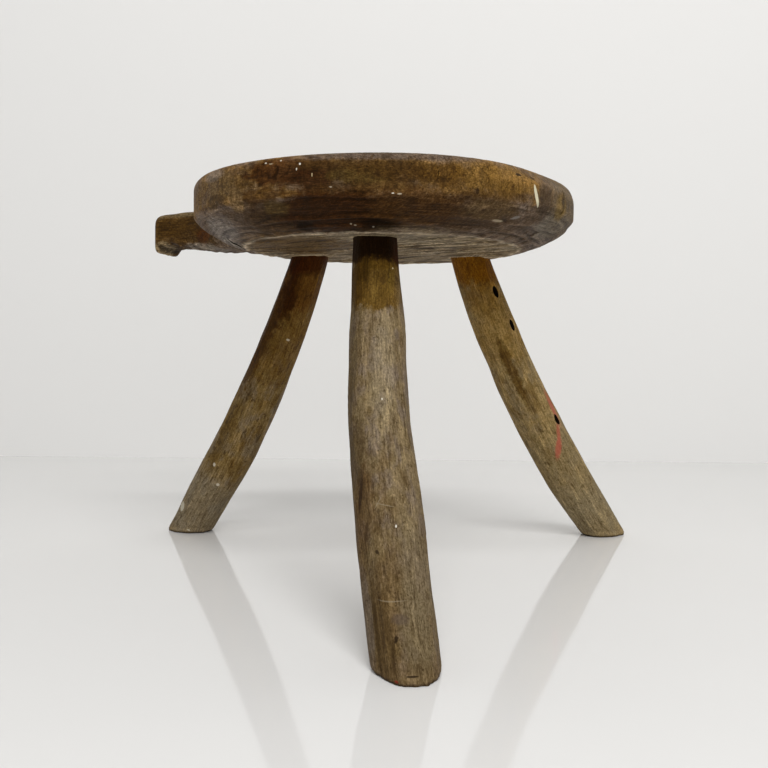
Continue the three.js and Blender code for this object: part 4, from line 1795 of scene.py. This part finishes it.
@dataclass
class Studio:
    """The pale floor, the backdrop, the soft lights and the camera."""

    floor_colour: str = "#e6e5e3"
    wall_colour: str = "#edecea"
    air_colour: str = "#f2f2f0"
    sheet_size: float = 6000.0
    wall_distance: float = 722.0
    sky_strength: float = 0.28
    lamps: tuple[Lamp, ...] = (
        Lamp("front_lamp_low", (540, -2010, 1760), 29),
        Lamp("front_lamp_high", (150, -1490, 2330), 30.5),
    )
    lamp_width: float = 1800.0
    lamp_depth: float = 240.0
    aim_height: float = 150.0
    camera_place: tuple[float, float, float] = (-11.18, -638.45, 170.13)
    camera_pitch: float = 0.0388
    camera_roll: float = 0.0090
    focal_length: float = 41.25
    sensor_width: float = 36.0

    def build(self) -> None:
        """Builds floor and backdrop, and hangs the lights."""
        floor = self._sheet("floor", (0, 0, 0), 0.0)
        wall = self._sheet("backdrop", (0, self.wall_distance, self.sheet_size / 4), math.pi / 2)
        self._coat(floor, "polished_white_board", self.floor_colour, roughness=0.07, gloss=0.42)
        self._coat(wall, "limewashed_plaster_smooth", self.wall_colour, roughness=0.9, gloss=0.1)
        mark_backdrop(floor, wall)
        self._sky()
        for lamp in self.lamps:
            self._hang(lamp)
        self._camera()

    def _sheet(self, name: str, middle: tuple[float, float, float], tilt: float) -> bpy.types.Object:
        """Lays one flat sheet of the studio.

        Args:
            name: the sheet's name.
            middle: its middle in millimetres.
            tilt: how far it is tilted up, in radians.

        Returns:
            The sheet.
        """
        leave_selection()
        bpy.ops.mesh.primitive_plane_add(
            size=self.sheet_size * MM, location=[c * MM for c in middle], rotation=(tilt, 0, 0)
        )
        sheet = settle()
        sheet.name = name
        return sheet

    def _coat(self, sheet: bpy.types.Object, name: str, colour: str, roughness: float, gloss: float) -> None:
        """Gives a sheet its plain pale coat, and leaves its back clear, so that the stool shows from there.

        Args:
            sheet: the floor or the backdrop.
            name: the material's name.
            colour: its colour.
            roughness: its roughness.
            gloss: its specular level.
        """
        material = bpy.data.materials.new(name)
        nodes = Nodes(material)
        front = nodes.add(
            "ShaderNodeBsdfPrincipled",
            {"Base Color": linear(colour), "Roughness": roughness, "Specular IOR Level": gloss},
        )
        behind = nodes.add("ShaderNodeNewGeometry").outputs["Backfacing"]
        clear = nodes.add("ShaderNodeBsdfTransparent")
        both = nodes.add("ShaderNodeMixShader", {0: behind, 1: front, 2: clear})
        nodes.add("ShaderNodeOutputMaterial", {"Surface": both})
        sheet.data.materials.append(material)

    def _sky(self) -> None:
        """Lights the room evenly and shows white to the camera and to glossy surfaces."""
        world = bpy.data.worlds.new("studio_air")
        nodes = Nodes(world)
        rays = nodes.add("ShaderNodeLightPath").outputs
        seen: Source = rays["Is Camera Ray"]
        for kind in ("Is Glossy Ray", "Is Transmission Ray"):
            seen = nodes.add("ShaderNodeMath", {0: seen, 1: rays[kind]}, operation="MAXIMUM")
        soft = nodes.add("ShaderNodeBackground", {"Color": linear("#ffffff"), "Strength": self.sky_strength})
        white = nodes.add("ShaderNodeBackground", {"Color": linear(self.air_colour), "Strength": 1.0})
        both = nodes.add("ShaderNodeMixShader", {0: seen, 1: soft, 2: white})
        nodes.add("ShaderNodeOutputWorld", {0: both})
        bpy.context.scene.world = world

    def _hang(self, lamp: Lamp) -> None:
        """Hangs one soft lamp that looks at the stool.

        Args:
            lamp: the lamp.
        """
        light = bpy.data.lights.new(lamp.name, "AREA")
        light.shape = "RECTANGLE"
        light.size, light.size_y = self.lamp_width * MM, self.lamp_depth * MM
        light.energy = lamp.power
        hung = bpy.data.objects.new(lamp.name, light)
        middle = Vector(lamp.place)
        turn = (Vector((0, 0, self.aim_height)) - middle).to_track_quat("-Z", "Y").to_matrix().to_4x4()
        hung.matrix_world = Matrix.Translation(middle * MM) @ turn
        bpy.context.collection.objects.link(hung)

    def _camera(self) -> None:
        """Puts the camera where the photograph was taken: low in front, looking slightly down."""
        data = bpy.data.cameras.new("front_camera")
        data.lens, data.sensor_width = self.focal_length, self.sensor_width
        camera = bpy.data.objects.new("front_camera", data)
        tilt = Matrix.Rotation(math.pi / 2 - self.camera_pitch, 4, "X")
        turn = tilt @ Matrix.Rotation(self.camera_roll, 4, "Z")
        camera.matrix_world = Matrix.Translation(Vector(self.camera_place) * MM) @ turn
        bpy.context.collection.objects.link(camera)
        bpy.context.scene.camera = camera


def branch_legs(seat: Seat, feet: dict[Post, Vector]) -> list[Leg]:
    """Describes the three branches.

    Args:
        seat: the seat they stand under.
        feet: where each stands on the floor.

    Returns:
        The legs, not yet built.
    """
    return [
        Leg(
            Post.FRONT,
            seat,
            feet[Post.FRONT],
            socket_radius=75.0,
            socket_azimuth=-93.8,
            stoutness=1.0,
            seed=0.21,
            sway=-3.4,
            lumps=(
                Lump(0.81, 90.0, 1.3, 24.0),
                Lump(0.81, -90.0, -1.5, 24.0),
                Lump(0.3, 90.0, 0.9, 28.0),
                Lump(0.3, -90.0, 0.9, 28.0),
                Lump(0.49, 90.0, -0.95, 20.0),
                Lump(0.69, 90.0, 0.6, 16.0),
                Lump(0.56, -90.0, 0.7, 22.0),
            ),
            flats=(Flat(-0.2, 0.24, -58.0, 1.6), Flat(0.5, 0.8, -20.0, 0.9)),
        ),
        Leg(
            Post.LEFT,
            seat,
            feet[Post.LEFT],
            socket_radius=82.5,
            socket_azimuth=137.5,
            stoutness=0.975,
            seed=0.57,
            lumps=(Lump(0.16, 42.0, 1.8, 25.0), Lump(0.34, 40.0, 0.9, 30.0), Lump(0.34, -145.0, 0.9, 28.0)),
            flats=(Flat(0.1, 0.5, -60.0, 1.0),),
        ),
        Leg(
            Post.RIGHT,
            seat,
            feet[Post.RIGHT],
            socket_radius=93.0,
            socket_azimuth=37.0,
            stoutness=1.01,
            seed=0.83,
            lumps=(
                Lump(0.04, 149.0, -2.8, 22.0),
                Lump(0.85, 149.0, 1.1, 32.0),
                Lump(0.57, -31.0, -1.4, 32.0),
            ),
            flats=(Flat(0.2, 0.6, -125.0, 1.0),),
            bores=(Bore(0.118, -86.0), Bore(0.236, -75.0), Bore(0.57, -72.0)),
        ),
    ]


def main() -> None:
    """Builds the stool and its studio, and attaches each piece to the stool's root body."""
    logging.basicConfig(level=logging.INFO, format="%(name)s: %(message)s")
    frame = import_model()
    cad_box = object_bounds()
    bpy.context.scene.view_settings.view_transform = "Standard"
    mounts = {mount["name"]: Vector(mount["pos_m"]) / MM for mount in frame["record"]["mounts"]}
    top = mounts["seat_top"]
    seat = Seat(centre=Vector((top.x, top.y, 0)), top=top.z)
    legs = branch_legs(seat, {post: mounts[f"floor_{post.value}"] for post in Post})
    finishes = {Post.FRONT: FRONT_LEG_WOOD, Post.LEFT: LEFT_LEG_WOOD, Post.RIGHT: RIGHT_LEG_WOOD}
    plank = seat.build([leg.mortise() for leg in legs])
    keep_inside(plank, cad_box)
    seat.dress(SEAT_WOOD)
    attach(plank, "root")
    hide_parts("seat")
    log.info("%s: %d faces", plank.name, len(plank.data.polygons))
    for leg in legs:
        branch = leg.build()
        keep_inside(branch, cad_box)
        leg.dress(finishes[leg.post])
        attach(branch, "root")
        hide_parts(f"leg_{leg.post.value}")
        log.info("%s: %d faces", branch.name, len(branch.data.polygons))
        dress_wedge(frame["nodes"][f"wedge_{leg.post.value}"], WEDGE_WOOD)
    Studio().build()


if __name__ == "__main__":
    main()
